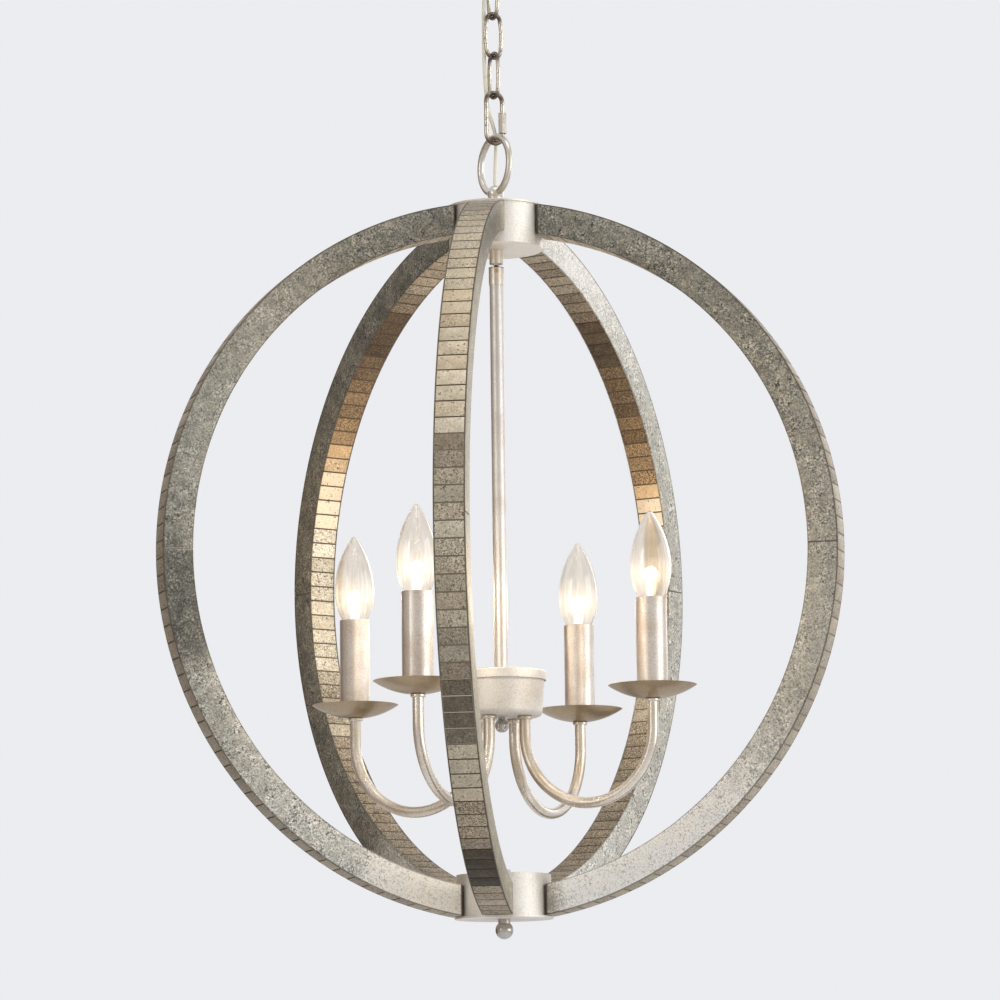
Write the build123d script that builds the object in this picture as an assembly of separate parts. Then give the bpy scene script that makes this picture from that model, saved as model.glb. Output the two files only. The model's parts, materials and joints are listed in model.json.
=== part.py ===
from build123d import *
import math
import os

# An orb chandelier: five slatted arches between two hubs, with four candle lights on a stem
# inside, hung on a chain. Millimetres and degrees. The ceiling is the plane z = 0, +Z is up,
# and the hanging axis is the Z axis.

# Ceiling fitting
CANOPY_RADIUS = 63.5
CANOPY_HEIGHT = 26.0
CANOPY_WALL = 1.2
CANOPY_CORNER = 9.0
STRAP_LENGTH = 110.0
STRAP_WIDTH = 20.0
STRAP_THICKNESS = 2.0
SLOT_SPACING = 88.9
SLOT_LENGTH = 14.0
SLOT_WIDTH = 4.6
GROUND_SCREW_X = 22.0
GROUND_SCREW_RADIUS = 1.9
GROUND_HEAD_RADIUS = 4.2
GROUND_HEAD_HEIGHT = 2.4
NIPPLE_RADIUS = 5.0
NIPPLE_WALL = 2.0
NUT_HEIGHT = 4.5
NUT_FLATS = 14.0
SHANK_RADIUS = 8.6
SHANK_IN_CANOPY = 6.0
SHANK_FLOOR = 6.0
SHANK_BELOW_COLLAR = 2.0
COLLAR_RADIUS = 15.0
COLLAR_HEIGHT = 6.0
COLLAR_EDGE = 1.5
LOOP_MEAN_RADIUS = 11.0
LOOP_WIRE = 4.0

# Chain, quick link and hanging ring
CHAIN_AZIMUTH = 30.0
LINK_COUNT = 3
LINK_LENGTH = 43.0
LINK_WIDTH = 19.3
LINK_WIRE = 3.6
LINK_BOW = 1.2
QUICK_LENGTH = 49.0
QUICK_WIDTH = 20.0
QUICK_WIRE = 4.0
QUICK_GAP = 6.0
QUICK_GAP_RISE = 14.6
SLEEVE_NUT_FLATS = 7.0
SLEEVE_NUT_LENGTH = 18.0
SLEEVE_NUT_OVERLAP = 3.0
RING_MEAN_RADIUS = 25.0
RING_WIRE = 6.0
BALL_RADIUS = 7.2
BALL_NECK_WALL = 1.15
BALL_CENTRE_RISE = 12.6
BALL_THREAD_DROP = 2.4

# Orb frame
ORB_RADIUS = 300.0
ARCH_BEND_RADIUS = 311.6
ARCH_DEPTH = 26.2
ARCH_BAND_WIDTH = 24.6
ARCH_PLATE_THICKNESS = 0.8
ARCH_AZIMUTHS = (-97.7, -16.2, 58.8, 126.1, 197.1)
SLAT_COUNT = 61
KERF_WIDTH = 1.0
KERF_DEPTH = 1.3
PLATE_SEAM = 0.5
HUB_RADIUS = 40.5
HUB_HEIGHT = 36.0
HUB_WALL = 1.5
HUB_PLATE_OVERHANG = 1.7
HUB_PLATE_THICKNESS = 1.6
SCREW_RADIUS = 2.0
SCREW_LENGTH = 15.0
SCREW_HEAD_RADIUS = 3.8
SCREW_HEAD_HEIGHT = 2.2
FINIAL_RADIUS = 7.7
FINIAL_NECK_RADIUS = 5.2
FINIAL_NECK_LENGTH = 1.6
FINIAL_SHANK_RADIUS = 3.0
FINIAL_NUT_FLATS = 10.0

# Swivel and stem
FORK_WALL = 0.85
FORK_LENGTH = 12.5
FORK_THREAD = 8.0
EAR_LENGTH = 11.5
EAR_WIDTH = 4.0
EAR_PLAY = 0.5
PIVOT_BELOW_FORK = 7.0
PIVOT_RADIUS = 1.2
PIVOT_HEAD_RADIUS = 1.9
PIVOT_HEAD_HEIGHT = 0.9
BARREL_RADIUS = 6.6
BARREL_WALL = 1.45
BARREL_LENGTH = 15.5
BARREL_TOP_GAP = 3.0
BARREL_FLOOR = 2.0
SPIGOT_LENGTH = 10.0
STEM_RADIUS = 6.0
STEM_WALL = 1.0
STEM_LENGTH = 349.0
STEM_IN_CAN = 12.0

# Candle cluster
LID_RADIUS = 38.8
LID_SKIRT = 8.2
LID_EDGE = 1.5
LID_PLAY = 0.3
CAN_WALL = 1.2
CAN_HEIGHT = 39.5
CAN_FOOT_RADIUS = 34.8
CAN_CORNER = 5.0
CAN_BALL_RADIUS = 6.0
CAN_BALL_NECK = 1.2
CAN_BALL_NECK_RADIUS = 3.0
CAN_SHANK_RADIUS = 2.5
CAN_SHANK_LENGTH = 9.0
CAN_BALL_NUT_FLATS = 9.0
STEM_NUT_FLATS = 19.0
ARM_COUNT = 4
ARM_AZIMUTH = -28.5
ARM_ROOT_RADIUS = 22.5
CANDLE_RADIUS = 145.0
ARM_TUBE_RADIUS = 4.75
ARM_TUBE_WALL = 1.0
ARM_IN_CAN = 6.5
ARM_NUT_FLATS = 12.0
ARM_LEG_DROP = 16.0
ARM_ABOVE_PAN = 8.0
ARM_COLLAR_RADIUS = 6.4
ARM_COLLAR_HEIGHT = 3.0
ARM_COLLAR_EDGE = 1.0
PAN_RADIUS = 37.5
PAN_DEPTH = 11.0
PAN_FLOOR_RADIUS = 9.0
PAN_WALL = 1.0
PAN_FLOOR_ABOVE_CAN = 8.0
SLEEVE_WALL = 1.0
SLEEVE_TOP_ABOVE_FLOOR = 85.3
HOLDER_PLAY = 0.6
HOLDER_FOOT_HEIGHT = 5.0
HOLDER_RECESS = 12.0
HOLDER_SOCKET_ROOM = 2.0
BULB_BASE_RADIUS = 6.0
BULB_BASE_LENGTH = 25.0
BULB_BUTTON_RADIUS = 2.0
BULB_THREAD_PITCH = 3.2
BULB_THREAD_DEPTH = 0.6
BULB_NECK_RADIUS = 6.8
BULB_MOUTH_RADIUS = 11.0
BULB_MOUTH_PLAY = 1.2
BULB_BELLY_RADIUS = 17.5
BULB_BELLY_RISE = 25.0
BULB_SHOULDER_RADIUS = 6.2
BULB_SHOULDER_RISE = 66.5
BULB_TIP_RISE = 74.0
BULB_TIP_RADIUS = 2.2
BULB_GLASS = 0.8

# Cord and leads
CORD_RADIUS = 1.7
CORD_HOLE_RADIUS = 2.1
CORD_BESIDE_CHAIN = (-8.4, 2.3)
CORD_BEHIND_RING = (1.2, 8.2)
CORD_BEND_SHARE = 0.45
CORD_END_RISE = 3.6
LEAD_RADIUS = 1.5
CAP_RADIUS = 5.2
CAP_TIP_RADIUS = 3.2
CAP_HEIGHT = 15.0
CAP_PLACE_RADIUS = 13.5

# Clearances
CHAIN_PLAY = 0.3
THREAD_PLAY = 0.05
SEAT_PLAY = 0.1
SCREW_PLAY = 0.2

# Radii that follow from a fit
nipple_bore = NIPPLE_RADIUS - NIPPLE_WALL
nipple_hole = NIPPLE_RADIUS + THREAD_PLAY
ball_neck_radius = nipple_hole + BALL_NECK_WALL
hub_plate_radius = HUB_RADIUS + HUB_PLATE_OVERHANG
fork_radius = nipple_hole + FORK_WALL
barrel_bore = BARREL_RADIUS - BARREL_WALL
ear_radius = barrel_bore - EAR_PLAY
stem_bore = STEM_RADIUS - STEM_WALL
arm_bore = ARM_TUBE_RADIUS - ARM_TUBE_WALL
arm_hole = ARM_TUBE_RADIUS + THREAD_PLAY
sleeve_bore = BULB_MOUTH_RADIUS + BULB_MOUTH_PLAY
sleeve_radius = sleeve_bore + SLEEVE_WALL
holder_radius = sleeve_bore - HOLDER_PLAY
holder_foot_radius = PAN_FLOOR_RADIUS - HOLDER_PLAY

# Levels worked out from the ceiling down
canopy_bottom = -CANOPY_HEIGHT
shank_top = canopy_bottom + SHANK_IN_CANOPY
shank_bottom = canopy_bottom - COLLAR_HEIGHT - SHANK_BELOW_COLLAR
loop_centre = shank_bottom - LOOP_MEAN_RADIUS
loop_seat = loop_centre - LOOP_MEAN_RADIUS + LOOP_WIRE / 2
link_pitch = LINK_LENGTH - 2 * LINK_WIRE - CHAIN_PLAY
first_link_top = loop_seat + CHAIN_PLAY + LINK_WIRE
link_tops = [first_link_top - link_pitch * index for index in range(LINK_COUNT)]
link_azimuths = [CHAIN_AZIMUTH - 90.0 * ((index + 1) % 2) for index in range(LINK_COUNT)]
last_link_seat = link_tops[-1] - LINK_LENGTH + LINK_WIRE
quick_top = last_link_seat + CHAIN_PLAY + QUICK_WIRE
quick_azimuth = link_azimuths[-1] + 90.0
quick_bottom = quick_top - QUICK_LENGTH
ring_top = quick_bottom + QUICK_WIRE + CHAIN_PLAY + RING_WIRE
ring_azimuth = quick_azimuth - 90.0
ring_centre = ring_top - RING_WIRE / 2 - RING_MEAN_RADIUS
ball_centre = ring_centre - RING_MEAN_RADIUS
ball_thread_top = ball_centre - BALL_THREAD_DROP
cord_end = ball_centre + CORD_END_RISE
top_plate_top = ball_centre - BALL_CENTRE_RISE
top_hub_top = top_plate_top - HUB_PLATE_THICKNESS
top_hub_bottom = top_hub_top - HUB_HEIGHT
arch_centre_offset = ORB_RADIUS - ARCH_BEND_RADIUS
arch_inner_radius = ARCH_BEND_RADIUS - ARCH_DEPTH
arch_end = HUB_RADIUS + SEAT_PLAY
arch_end_rise = math.sqrt(ARCH_BEND_RADIUS ** 2 - (arch_end - arch_centre_offset) ** 2)
arch_end_foot = math.sqrt(arch_inner_radius ** 2 - (arch_end - arch_centre_offset) ** 2)
orb_centre = top_hub_top - SEAT_PLAY - arch_end_rise
bottom_hub_top = 2 * orb_centre - top_hub_bottom
bottom_hub_bottom = 2 * orb_centre - top_hub_top
bottom_plate_bottom = bottom_hub_bottom - HUB_PLATE_THICKNESS
fork_top = top_hub_bottom - SEAT_PLAY
fork_bottom = fork_top - FORK_LENGTH
ear_bottom = fork_bottom - EAR_LENGTH
pivot_level = fork_bottom - PIVOT_BELOW_FORK
barrel_top = fork_bottom - BARREL_TOP_GAP
barrel_bottom = barrel_top - BARREL_LENGTH
stem_top = barrel_bottom
stem_bottom = stem_top - STEM_LENGTH
lid_top = stem_bottom + STEM_IN_CAN
lid_under = lid_top - CAN_WALL
can_top = lid_under
can_bottom = lid_top - CAN_HEIGHT
can_floor = can_bottom + CAN_WALL
can_mouth_radius = LID_RADIUS - CAN_WALL - LID_PLAY
pan_floor = can_bottom + PAN_FLOOR_ABOVE_CAN
arm_bend_radius = (CANDLE_RADIUS - ARM_ROOT_RADIUS) / 2
arm_bend_level = can_bottom - ARM_LEG_DROP
arm_top = pan_floor + ARM_ABOVE_PAN
sleeve_top = pan_floor + SLEEVE_TOP_ABOVE_FLOOR
holder_top = sleeve_top - HOLDER_RECESS
bulb_neck_level = holder_top + SCREW_PLAY
bulb_belly_level = sleeve_top + BULB_BELLY_RISE
bulb_shoulder_level = sleeve_top + BULB_SHOULDER_RISE
bulb_tip_level = sleeve_top + BULB_TIP_RISE
arm_azimuths = [ARM_AZIMUTH + 360.0 / ARM_COUNT * index for index in range(ARM_COUNT)]


def direction(azimuth):
    """The level unit vector at an azimuth."""
    return Vector(math.cos(math.radians(azimuth)), math.sin(math.radians(azimuth)), 0)


def upright_plane(azimuth, level=0.0):
    """The upright plane through the axis whose X runs outwards at an azimuth and whose Y is up."""
    outwards = direction(azimuth)
    return Plane(origin=(0, 0, level), x_dir=outwards, z_dir=outwards.cross(Vector(0, 0, 1)))


def cylinder(radius, bottom, top, at=(0.0, 0.0)):
    bar = Cylinder(radius, top - bottom, align=(Align.CENTER, Align.CENTER, Align.MIN))
    return Pos(at[0], at[1], bottom) * bar


def tube(outer, inner, bottom, top):
    return cylinder(outer, bottom, top) - cylinder(inner, bottom, top)


def turned(*outline):
    """A turned piece from its half outline: edges in the XZ plane, closed along the way round."""
    return revolve(make_face(list(outline)), Axis.Z)


def rows(*points):
    """A closed run of straight edges through (radius, level) points."""
    return Polyline(*[(radius, 0, level) for radius, level in points], close=True)


def hex_nut(flats, hole_radius, bottom, height, at=(0.0, 0.0)):
    hexagon = RegularPolygon(flats / 2, 6, major_radius=False)
    blank = Pos(at[0], at[1], bottom) * extrude(hexagon, height)
    return blank - cylinder(hole_radius, bottom, bottom + height, at)


def wire_loop(edges, start, wire, azimuth, level=0.0):
    """A closed loop of round wire in the upright plane at an azimuth, begun where it runs upwards."""
    profile = Pos(*start, 0) * Rot(90, 0, 0) * Circle(wire / 2)
    return upright_plane(azimuth, level) * sweep(profile, Wire(edges))


def straight_link(length, width, wire, top, azimuth):
    """A link with straight legs, hanging from its top."""
    bend = (width - wire) / 2
    upper = top - width / 2
    lower = top - length + width / 2
    edges = [
        Line((bend, lower), (bend, upper)),
        ThreePointArc((bend, upper), (0, upper + bend), (-bend, upper)),
        Line((-bend, upper), (-bend, lower)),
        ThreePointArc((-bend, lower), (0, lower - bend), (bend, lower)),
    ]
    return wire_loop(edges, (bend, lower), wire, azimuth)


def bowed_link(length, width, wire, bow, top, azimuth):
    """An oval link, hanging from its top: its sides bow out past its round ends, in tangent arcs."""
    half_width = (width - wire) / 2
    half_length = (length - wire) / 2
    end = half_width - bow
    rise = half_length - end
    side = (half_width ** 2 + rise ** 2 - end ** 2) / (2 * bow)
    meeting = math.atan2(rise, side - half_width)
    x, y = end * math.cos(meeting), rise + end * math.sin(meeting)
    mid_x = half_width - side + side * math.cos(meeting / 2)
    mid_y = side * math.sin(meeting / 2)
    edges = [
        ThreePointArc((half_width, 0), (mid_x, mid_y), (x, y)),
        ThreePointArc((x, y), (0, half_length), (-x, y)),
        ThreePointArc((-x, y), (-half_width, 0), (-x, -y)),
        ThreePointArc((-x, -y), (0, -half_length), (x, -y)),
        ThreePointArc((x, -y), (mid_x, -mid_y), (half_width, 0)),
    ]
    return wire_loop(edges, (half_width, 0), wire, azimuth, top - length / 2)


def solids_of(*shapes):
    """Separate solids kept side by side in one group."""
    return Compound(children=[solid for shape in shapes for solid in shape.solids()])


# Ceiling fitting

def mounting_strap():
    bar = Pos(0, 0, -STRAP_THICKNESS / 2) * Box(STRAP_LENGTH, STRAP_WIDTH, STRAP_THICKNESS)
    slot = extrude(SlotOverall(SLOT_LENGTH, SLOT_WIDTH), STRAP_THICKNESS / 2, both=True)
    for side in (-1, 1):
        bar -= Pos(side * SLOT_SPACING / 2, 0, -STRAP_THICKNESS / 2) * slot
    bar -= cylinder(nipple_hole, -STRAP_THICKNESS, 0)
    return bar - cylinder(GROUND_SCREW_RADIUS + THREAD_PLAY, -STRAP_THICKNESS, 0, (GROUND_SCREW_X, 0))


def ground_screw():
    at = (GROUND_SCREW_X, 0)
    head_top = -STRAP_THICKNESS - SEAT_PLAY
    head = cylinder(GROUND_HEAD_RADIUS, head_top - GROUND_HEAD_HEIGHT, head_top, at)
    return head + cylinder(GROUND_SCREW_RADIUS, head_top, head_top + STRAP_THICKNESS, at)


def strap_nipple():
    return tube(NIPPLE_RADIUS, nipple_bore, shank_bottom + SHANK_FLOOR, 0)


def nipple_nut():
    top = -STRAP_THICKNESS - SEAT_PLAY
    return hex_nut(NUT_FLATS, nipple_hole, top - NUT_HEIGHT, NUT_HEIGHT)


def canopy():
    inside = CANOPY_RADIUS - CANOPY_WALL
    cup = cylinder(CANOPY_RADIUS, canopy_bottom, 0)
    cup = fillet(cup.edges().sort_by(Axis.Z)[0], CANOPY_CORNER)
    hollow = cylinder(inside, canopy_bottom + CANOPY_WALL, 0)
    hollow = fillet(hollow.edges().sort_by(Axis.Z)[0], CANOPY_CORNER - CANOPY_WALL)
    return cup - hollow - cylinder(SHANK_RADIUS + SEAT_PLAY, canopy_bottom, 0)


def canopy_loop():
    shank = cylinder(SHANK_RADIUS, shank_bottom, shank_top)
    loop = Rot(0, 0, CHAIN_AZIMUTH) * Rot(90, 0, 0) * Torus(LOOP_MEAN_RADIUS, LOOP_WIRE / 2)
    piece = shank + Pos(0, 0, loop_centre) * loop
    piece -= cylinder(nipple_hole, shank_bottom + SHANK_FLOOR - SEAT_PLAY, shank_top)
    return piece - cylinder(nipple_bore, loop_centre, shank_top)


def canopy_collar():
    top = canopy_bottom - SEAT_PLAY
    ring = tube(COLLAR_RADIUS, SHANK_RADIUS + THREAD_PLAY, top - COLLAR_HEIGHT, top)
    rims = ring.edges().filter_by(GeomType.CIRCLE).group_by(SortBy.RADIUS)[-1]
    return fillet(rims, COLLAR_EDGE)


# Chain and hanging ring

def quick_link():
    loop = straight_link(QUICK_LENGTH, QUICK_WIDTH, QUICK_WIRE, quick_top, quick_azimuth)
    leg = (QUICK_WIDTH - QUICK_WIRE) / 2
    gap_middle = quick_bottom + QUICK_GAP_RISE + QUICK_GAP / 2
    gap = Pos(leg, 0, gap_middle) * Box(2 * QUICK_WIRE, 2 * QUICK_WIRE, QUICK_GAP)
    return loop - Rot(0, 0, quick_azimuth) * gap


def quick_link_nut():
    leg = (QUICK_WIDTH - QUICK_WIRE) / 2
    bottom = quick_bottom + QUICK_GAP_RISE - SLEEVE_NUT_OVERLAP
    nut = hex_nut(SLEEVE_NUT_FLATS, QUICK_WIRE / 2 + THREAD_PLAY, bottom, SLEEVE_NUT_LENGTH)
    return Rot(0, 0, quick_azimuth) * Pos(leg, 0, 0) * nut


def hanging_ring():
    ring = Rot(0, 0, ring_azimuth) * Rot(90, 0, 0) * Torus(RING_MEAN_RADIUS, RING_WIRE / 2)
    return Pos(0, 0, ring_centre) * ring - Pos(0, 0, ball_centre) * Sphere(BALL_RADIUS + THREAD_PLAY)


def ring_ball():
    piece = Pos(0, 0, ball_centre) * Sphere(BALL_RADIUS)
    piece += cylinder(ball_neck_radius, top_plate_top, ball_centre)
    piece -= cylinder(nipple_hole, top_plate_top, ball_thread_top)
    return piece - cylinder(CORD_HOLE_RADIUS, ball_thread_top, ball_centre + BALL_RADIUS)


# Orb frame

def hub_nipple():
    return tube(NIPPLE_RADIUS, nipple_bore, fork_top - FORK_THREAD, ball_thread_top - SEAT_PLAY)


def hub_screw_level(side):
    """The height at which the screws of the upper (+1) or lower (-1) arch ends lie."""
    return orb_centre + side * (arch_end_rise + arch_end_foot) / 2


def along(azimuth, radius, start, end, level):
    """A level round bar along an azimuth, between two distances from the axis."""
    bar = Cylinder(radius, end - start, align=(Align.CENTER, Align.CENTER, Align.MIN))
    return Pos(0, 0, level) * Rot(0, 0, azimuth) * Pos(start, 0, 0) * Rot(0, 90, 0) * bar


def hub_drum(side, closed_level, open_level, hole_radius):
    """A round cup: its wall, its closed end and the screw holes for the arch ends."""
    low, high = sorted((closed_level, open_level))
    cup = cylinder(HUB_RADIUS, low, high)
    inner_closed = closed_level + side * HUB_WALL
    low, high = sorted((inner_closed, open_level))
    cup -= cylinder(HUB_RADIUS - HUB_WALL, low, high)
    low, high = sorted((closed_level, inner_closed))
    cup -= cylinder(hole_radius, low, high)
    level = hub_screw_level(side)
    for azimuth in ARCH_AZIMUTHS:
        cup -= along(azimuth, SCREW_RADIUS + SCREW_PLAY, HUB_RADIUS - 2 * HUB_WALL, HUB_RADIUS, level)
    return cup


def hub_plate(bottom, hole_radius):
    return tube(hub_plate_radius, hole_radius, bottom, bottom + HUB_PLATE_THICKNESS)


def arch_screws():
    inside = math.sqrt((HUB_RADIUS - HUB_WALL) ** 2 - SCREW_HEAD_RADIUS ** 2) - SEAT_PLAY
    screws = []
    for side in (-1, 1):
        level = hub_screw_level(side)
        for azimuth in ARCH_AZIMUTHS:
            head = along(azimuth, SCREW_HEAD_RADIUS, inside - SCREW_HEAD_HEIGHT, inside, level)
            screws.append(head + along(azimuth, SCREW_RADIUS, inside, inside + SCREW_LENGTH, level))
    return solids_of(*screws)


def arch_point(radius, angle):
    """A point of an arch in its own plane, on an arc about the arch's centre."""
    return (arch_centre_offset + radius * math.cos(angle), radius * math.sin(angle))


def arch_end_angle(radius):
    """Where an arc of the arch meets the hub's side, in radians above the equator."""
    return math.acos((arch_end - arch_centre_offset) / radius)


def arch_points():
    """The outline of a slatted band in its own plane: flat slats parted by kerfs on both faces."""
    pitch = 2 * arch_end_angle(ARCH_BEND_RADIUS) / SLAT_COUNT

    def face(radius, depth):
        half_kerf = KERF_WIDTH / 2 / radius
        points = [arch_point(radius, -arch_end_angle(radius))]
        for index in range(1, SLAT_COUNT):
            angle = (index - SLAT_COUNT / 2) * pitch
            for reach, turn in ((radius, -1), (depth, -1), (depth, 1), (radius, 1)):
                points.append(arch_point(reach, angle + turn * half_kerf))
        return points + [arch_point(radius, arch_end_angle(radius))]

    outer = face(ARCH_BEND_RADIUS, ARCH_BEND_RADIUS - KERF_DEPTH)
    inner = face(arch_inner_radius, arch_inner_radius + KERF_DEPTH)
    return outer + inner[::-1]


def arch_band(azimuth):
    outline = make_face(Polyline(*arch_points(), close=True))
    band = upright_plane(azimuth, orb_centre) * extrude(outline, ARCH_BAND_WIDTH / 2, both=True)
    for side in (-1, 1):
        level = hub_screw_level(side)
        band -= along(azimuth, SCREW_RADIUS + THREAD_PLAY, HUB_RADIUS, HUB_RADIUS + SCREW_LENGTH, level)
    return band


def arch_quarter_plate():
    """A quarter-arc side plate in its arch's plane, above the equator seam."""
    corners = []
    for radius in (ARCH_BEND_RADIUS, arch_inner_radius):
        low = PLATE_SEAM / 2 / radius
        high = arch_end_angle(radius)
        corners.append([arch_point(radius, angle) for angle in (low, (low + high) / 2, high)])
    (outer_low, outer_mid, outer_high), (inner_low, inner_mid, inner_high) = corners
    return make_face([
        ThreePointArc(outer_low, outer_mid, outer_high),
        Line(outer_high, inner_high),
        ThreePointArc(inner_high, inner_mid, inner_low),
        Line(inner_low, outer_low),
    ])


def arch_side_plates():
    quarter = arch_quarter_plate()
    plates = []
    for azimuth in ARCH_AZIMUTHS:
        plane = upright_plane(azimuth, orb_centre)
        for outline in (quarter, mirror(quarter, Plane.XZ)):
            plate = extrude(outline, ARCH_PLATE_THICKNESS, dir=(0, 0, 1))
            plates.append(plane * Pos(0, 0, ARCH_BAND_WIDTH / 2) * plate)
            plates.append(plane * Pos(0, 0, -ARCH_BAND_WIDTH / 2 - ARCH_PLATE_THICKNESS) * plate)
    return solids_of(*plates)


def bottom_finial():
    neck_bottom = bottom_plate_bottom - FINIAL_NECK_LENGTH
    piece = Pos(0, 0, neck_bottom - FINIAL_RADIUS) * Sphere(FINIAL_RADIUS)
    piece += cylinder(FINIAL_NECK_RADIUS, neck_bottom - FINIAL_RADIUS, bottom_plate_bottom)
    return piece + cylinder(FINIAL_SHANK_RADIUS, bottom_plate_bottom, bottom_hub_top + NUT_HEIGHT)


def finial_nut():
    hole = FINIAL_SHANK_RADIUS + THREAD_PLAY
    return hex_nut(FINIAL_NUT_FLATS, hole, bottom_hub_top + SEAT_PLAY, NUT_HEIGHT)


# Swivel and stem

def across(radius, start, end, level):
    """A round bar along Y, towards the front (-Y) for negative distances."""
    low, high = sorted((start, end))
    bar = Cylinder(radius, high - low, align=(Align.CENTER, Align.CENTER, Align.MIN))
    return Pos(0, high, level) * Rot(90, 0, 0) * bar


def swivel_fork():
    neck = cylinder(fork_radius, fork_bottom, fork_top)
    neck -= cylinder(nipple_hole, fork_top - FORK_THREAD - SEAT_PLAY, fork_top)
    ears = tube(ear_radius, nipple_bore, ear_bottom, fork_bottom)
    ears &= Pos(0, 0, fork_bottom - EAR_LENGTH / 2) * Box(EAR_WIDTH, 2 * ear_radius, EAR_LENGTH)
    fork = neck + ears - cylinder(nipple_bore, ear_bottom, fork_top)
    return fork - across(PIVOT_RADIUS + THREAD_PLAY, -ear_radius, ear_radius, pivot_level)


def swivel_barrel():
    body = cylinder(BARREL_RADIUS, barrel_bottom, barrel_top)
    body += cylinder(stem_bore - THREAD_PLAY, barrel_bottom - SPIGOT_LENGTH, barrel_bottom)
    body -= cylinder(barrel_bore, barrel_bottom + BARREL_FLOOR, barrel_top)
    body -= cylinder(nipple_bore, barrel_bottom - SPIGOT_LENGTH, barrel_top)
    return body - across(PIVOT_RADIUS, -BARREL_RADIUS, BARREL_RADIUS, pivot_level)


def swivel_screws():
    screws = []
    for side in (-1, 1):
        shank = across(PIVOT_RADIUS, side * nipple_bore, side * BARREL_RADIUS, pivot_level)
        outside = side * (BARREL_RADIUS + PIVOT_HEAD_HEIGHT)
        screws.append(shank + across(PIVOT_HEAD_RADIUS, side * BARREL_RADIUS, outside, pivot_level))
    return solids_of(*screws)


def stem():
    return tube(STEM_RADIUS, stem_bore, stem_bottom, stem_top)


# Candle cluster

def at_root(azimuth, piece):
    """A piece, modelled about the Z axis, moved to where an arm leaves the can."""
    return Rot(0, 0, azimuth) * Pos(ARM_ROOT_RADIUS, 0, 0) * piece


def at_candle(azimuth, piece):
    """A piece, modelled about the Z axis, moved to an arm's candle."""
    return Rot(0, 0, azimuth) * Pos(CANDLE_RADIUS, 0, 0) * piece


def on_candles(piece):
    return solids_of(*[at_candle(azimuth, piece) for azimuth in arm_azimuths])


def can_lid():
    cap = cylinder(LID_RADIUS, lid_top - LID_SKIRT, lid_top)
    cap = fillet(cap.edges().sort_by(Axis.Z)[-1], LID_EDGE)
    cap -= cylinder(LID_RADIUS - CAN_WALL, lid_top - LID_SKIRT, lid_under)
    return cap - cylinder(STEM_RADIUS + THREAD_PLAY, lid_under, lid_top)


def cluster_can():
    height = can_top - SEAT_PLAY - can_bottom
    cup = loft([
        Pos(0, 0, can_bottom) * Circle(CAN_FOOT_RADIUS),
        Pos(0, 0, can_bottom + height) * Circle(can_mouth_radius),
    ])
    cup = fillet(cup.edges().sort_by(Axis.Z)[0], CAN_CORNER)
    hollow = loft([
        Pos(0, 0, can_floor) * Circle(CAN_FOOT_RADIUS - CAN_WALL),
        Pos(0, 0, can_bottom + height) * Circle(can_mouth_radius - CAN_WALL),
    ])
    hollow = fillet(hollow.edges().sort_by(Axis.Z)[0], CAN_CORNER - CAN_WALL)
    cup -= hollow
    cup -= cylinder(CAN_SHANK_RADIUS + THREAD_PLAY, can_bottom, can_floor)
    for azimuth in arm_azimuths:
        place = direction(azimuth) * ARM_ROOT_RADIUS
        cup -= cylinder(arm_hole, can_bottom, can_floor, (place.X, place.Y))
    return cup


def can_ball():
    centre = can_bottom - CAN_BALL_NECK - CAN_BALL_RADIUS
    piece = Pos(0, 0, centre) * Sphere(CAN_BALL_RADIUS)
    piece += cylinder(CAN_BALL_NECK_RADIUS, centre, can_bottom)
    return piece + cylinder(CAN_SHANK_RADIUS, can_bottom, can_bottom + CAN_SHANK_LENGTH)


def can_nuts():
    on_floor = can_floor + SEAT_PLAY
    under_lid = lid_under - SEAT_PLAY - NUT_HEIGHT
    stem_nut = hex_nut(STEM_NUT_FLATS, STEM_RADIUS + THREAD_PLAY, under_lid, NUT_HEIGHT)
    ball_nut = hex_nut(CAN_BALL_NUT_FLATS, CAN_SHANK_RADIUS + THREAD_PLAY, on_floor, NUT_HEIGHT)
    arm_nut = hex_nut(ARM_NUT_FLATS, arm_hole, on_floor, NUT_HEIGHT)
    return solids_of(stem_nut, ball_nut, *[at_root(azimuth, arm_nut) for azimuth in arm_azimuths])


def arm_path(top_inside, top_outside):
    """An arm's centre line in its own plane: down out of the can, round a half circle, up to the pan."""
    middle = (ARM_ROOT_RADIUS + CANDLE_RADIUS) / 2
    return Wire([
        Line((ARM_ROOT_RADIUS, top_inside), (ARM_ROOT_RADIUS, arm_bend_level)),
        ThreePointArc(
            (ARM_ROOT_RADIUS, arm_bend_level),
            (middle, arm_bend_level - arm_bend_radius),
            (CANDLE_RADIUS, arm_bend_level),
        ),
        Line((CANDLE_RADIUS, arm_bend_level), (CANDLE_RADIUS, top_outside)),
    ])


def bar_along_arm(azimuth, radius, top_inside, top_outside):
    profile = Pos(ARM_ROOT_RADIUS, top_inside, 0) * Rot(90, 0, 0) * Circle(radius)
    return upright_plane(azimuth) * sweep(profile, arm_path(top_inside, top_outside))


def arm(azimuth):
    inside = can_floor + ARM_IN_CAN
    return (bar_along_arm(azimuth, ARM_TUBE_RADIUS, inside, arm_top)
            - bar_along_arm(azimuth, arm_bore, inside, arm_top))


def arm_collar(top):
    ring = tube(ARM_COLLAR_RADIUS, arm_hole, top - ARM_COLLAR_HEIGHT, top)
    rims = ring.edges().filter_by(GeomType.CIRCLE).group_by(SortBy.RADIUS)[-1]
    return fillet(rims, ARM_COLLAR_EDGE)


def arm_collars():
    under_can = arm_collar(can_bottom - SEAT_PLAY)
    roots = [at_root(azimuth, under_can) for azimuth in arm_azimuths]
    return solids_of(*roots, on_candles(arm_collar(pan_floor - SEAT_PLAY)))


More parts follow.
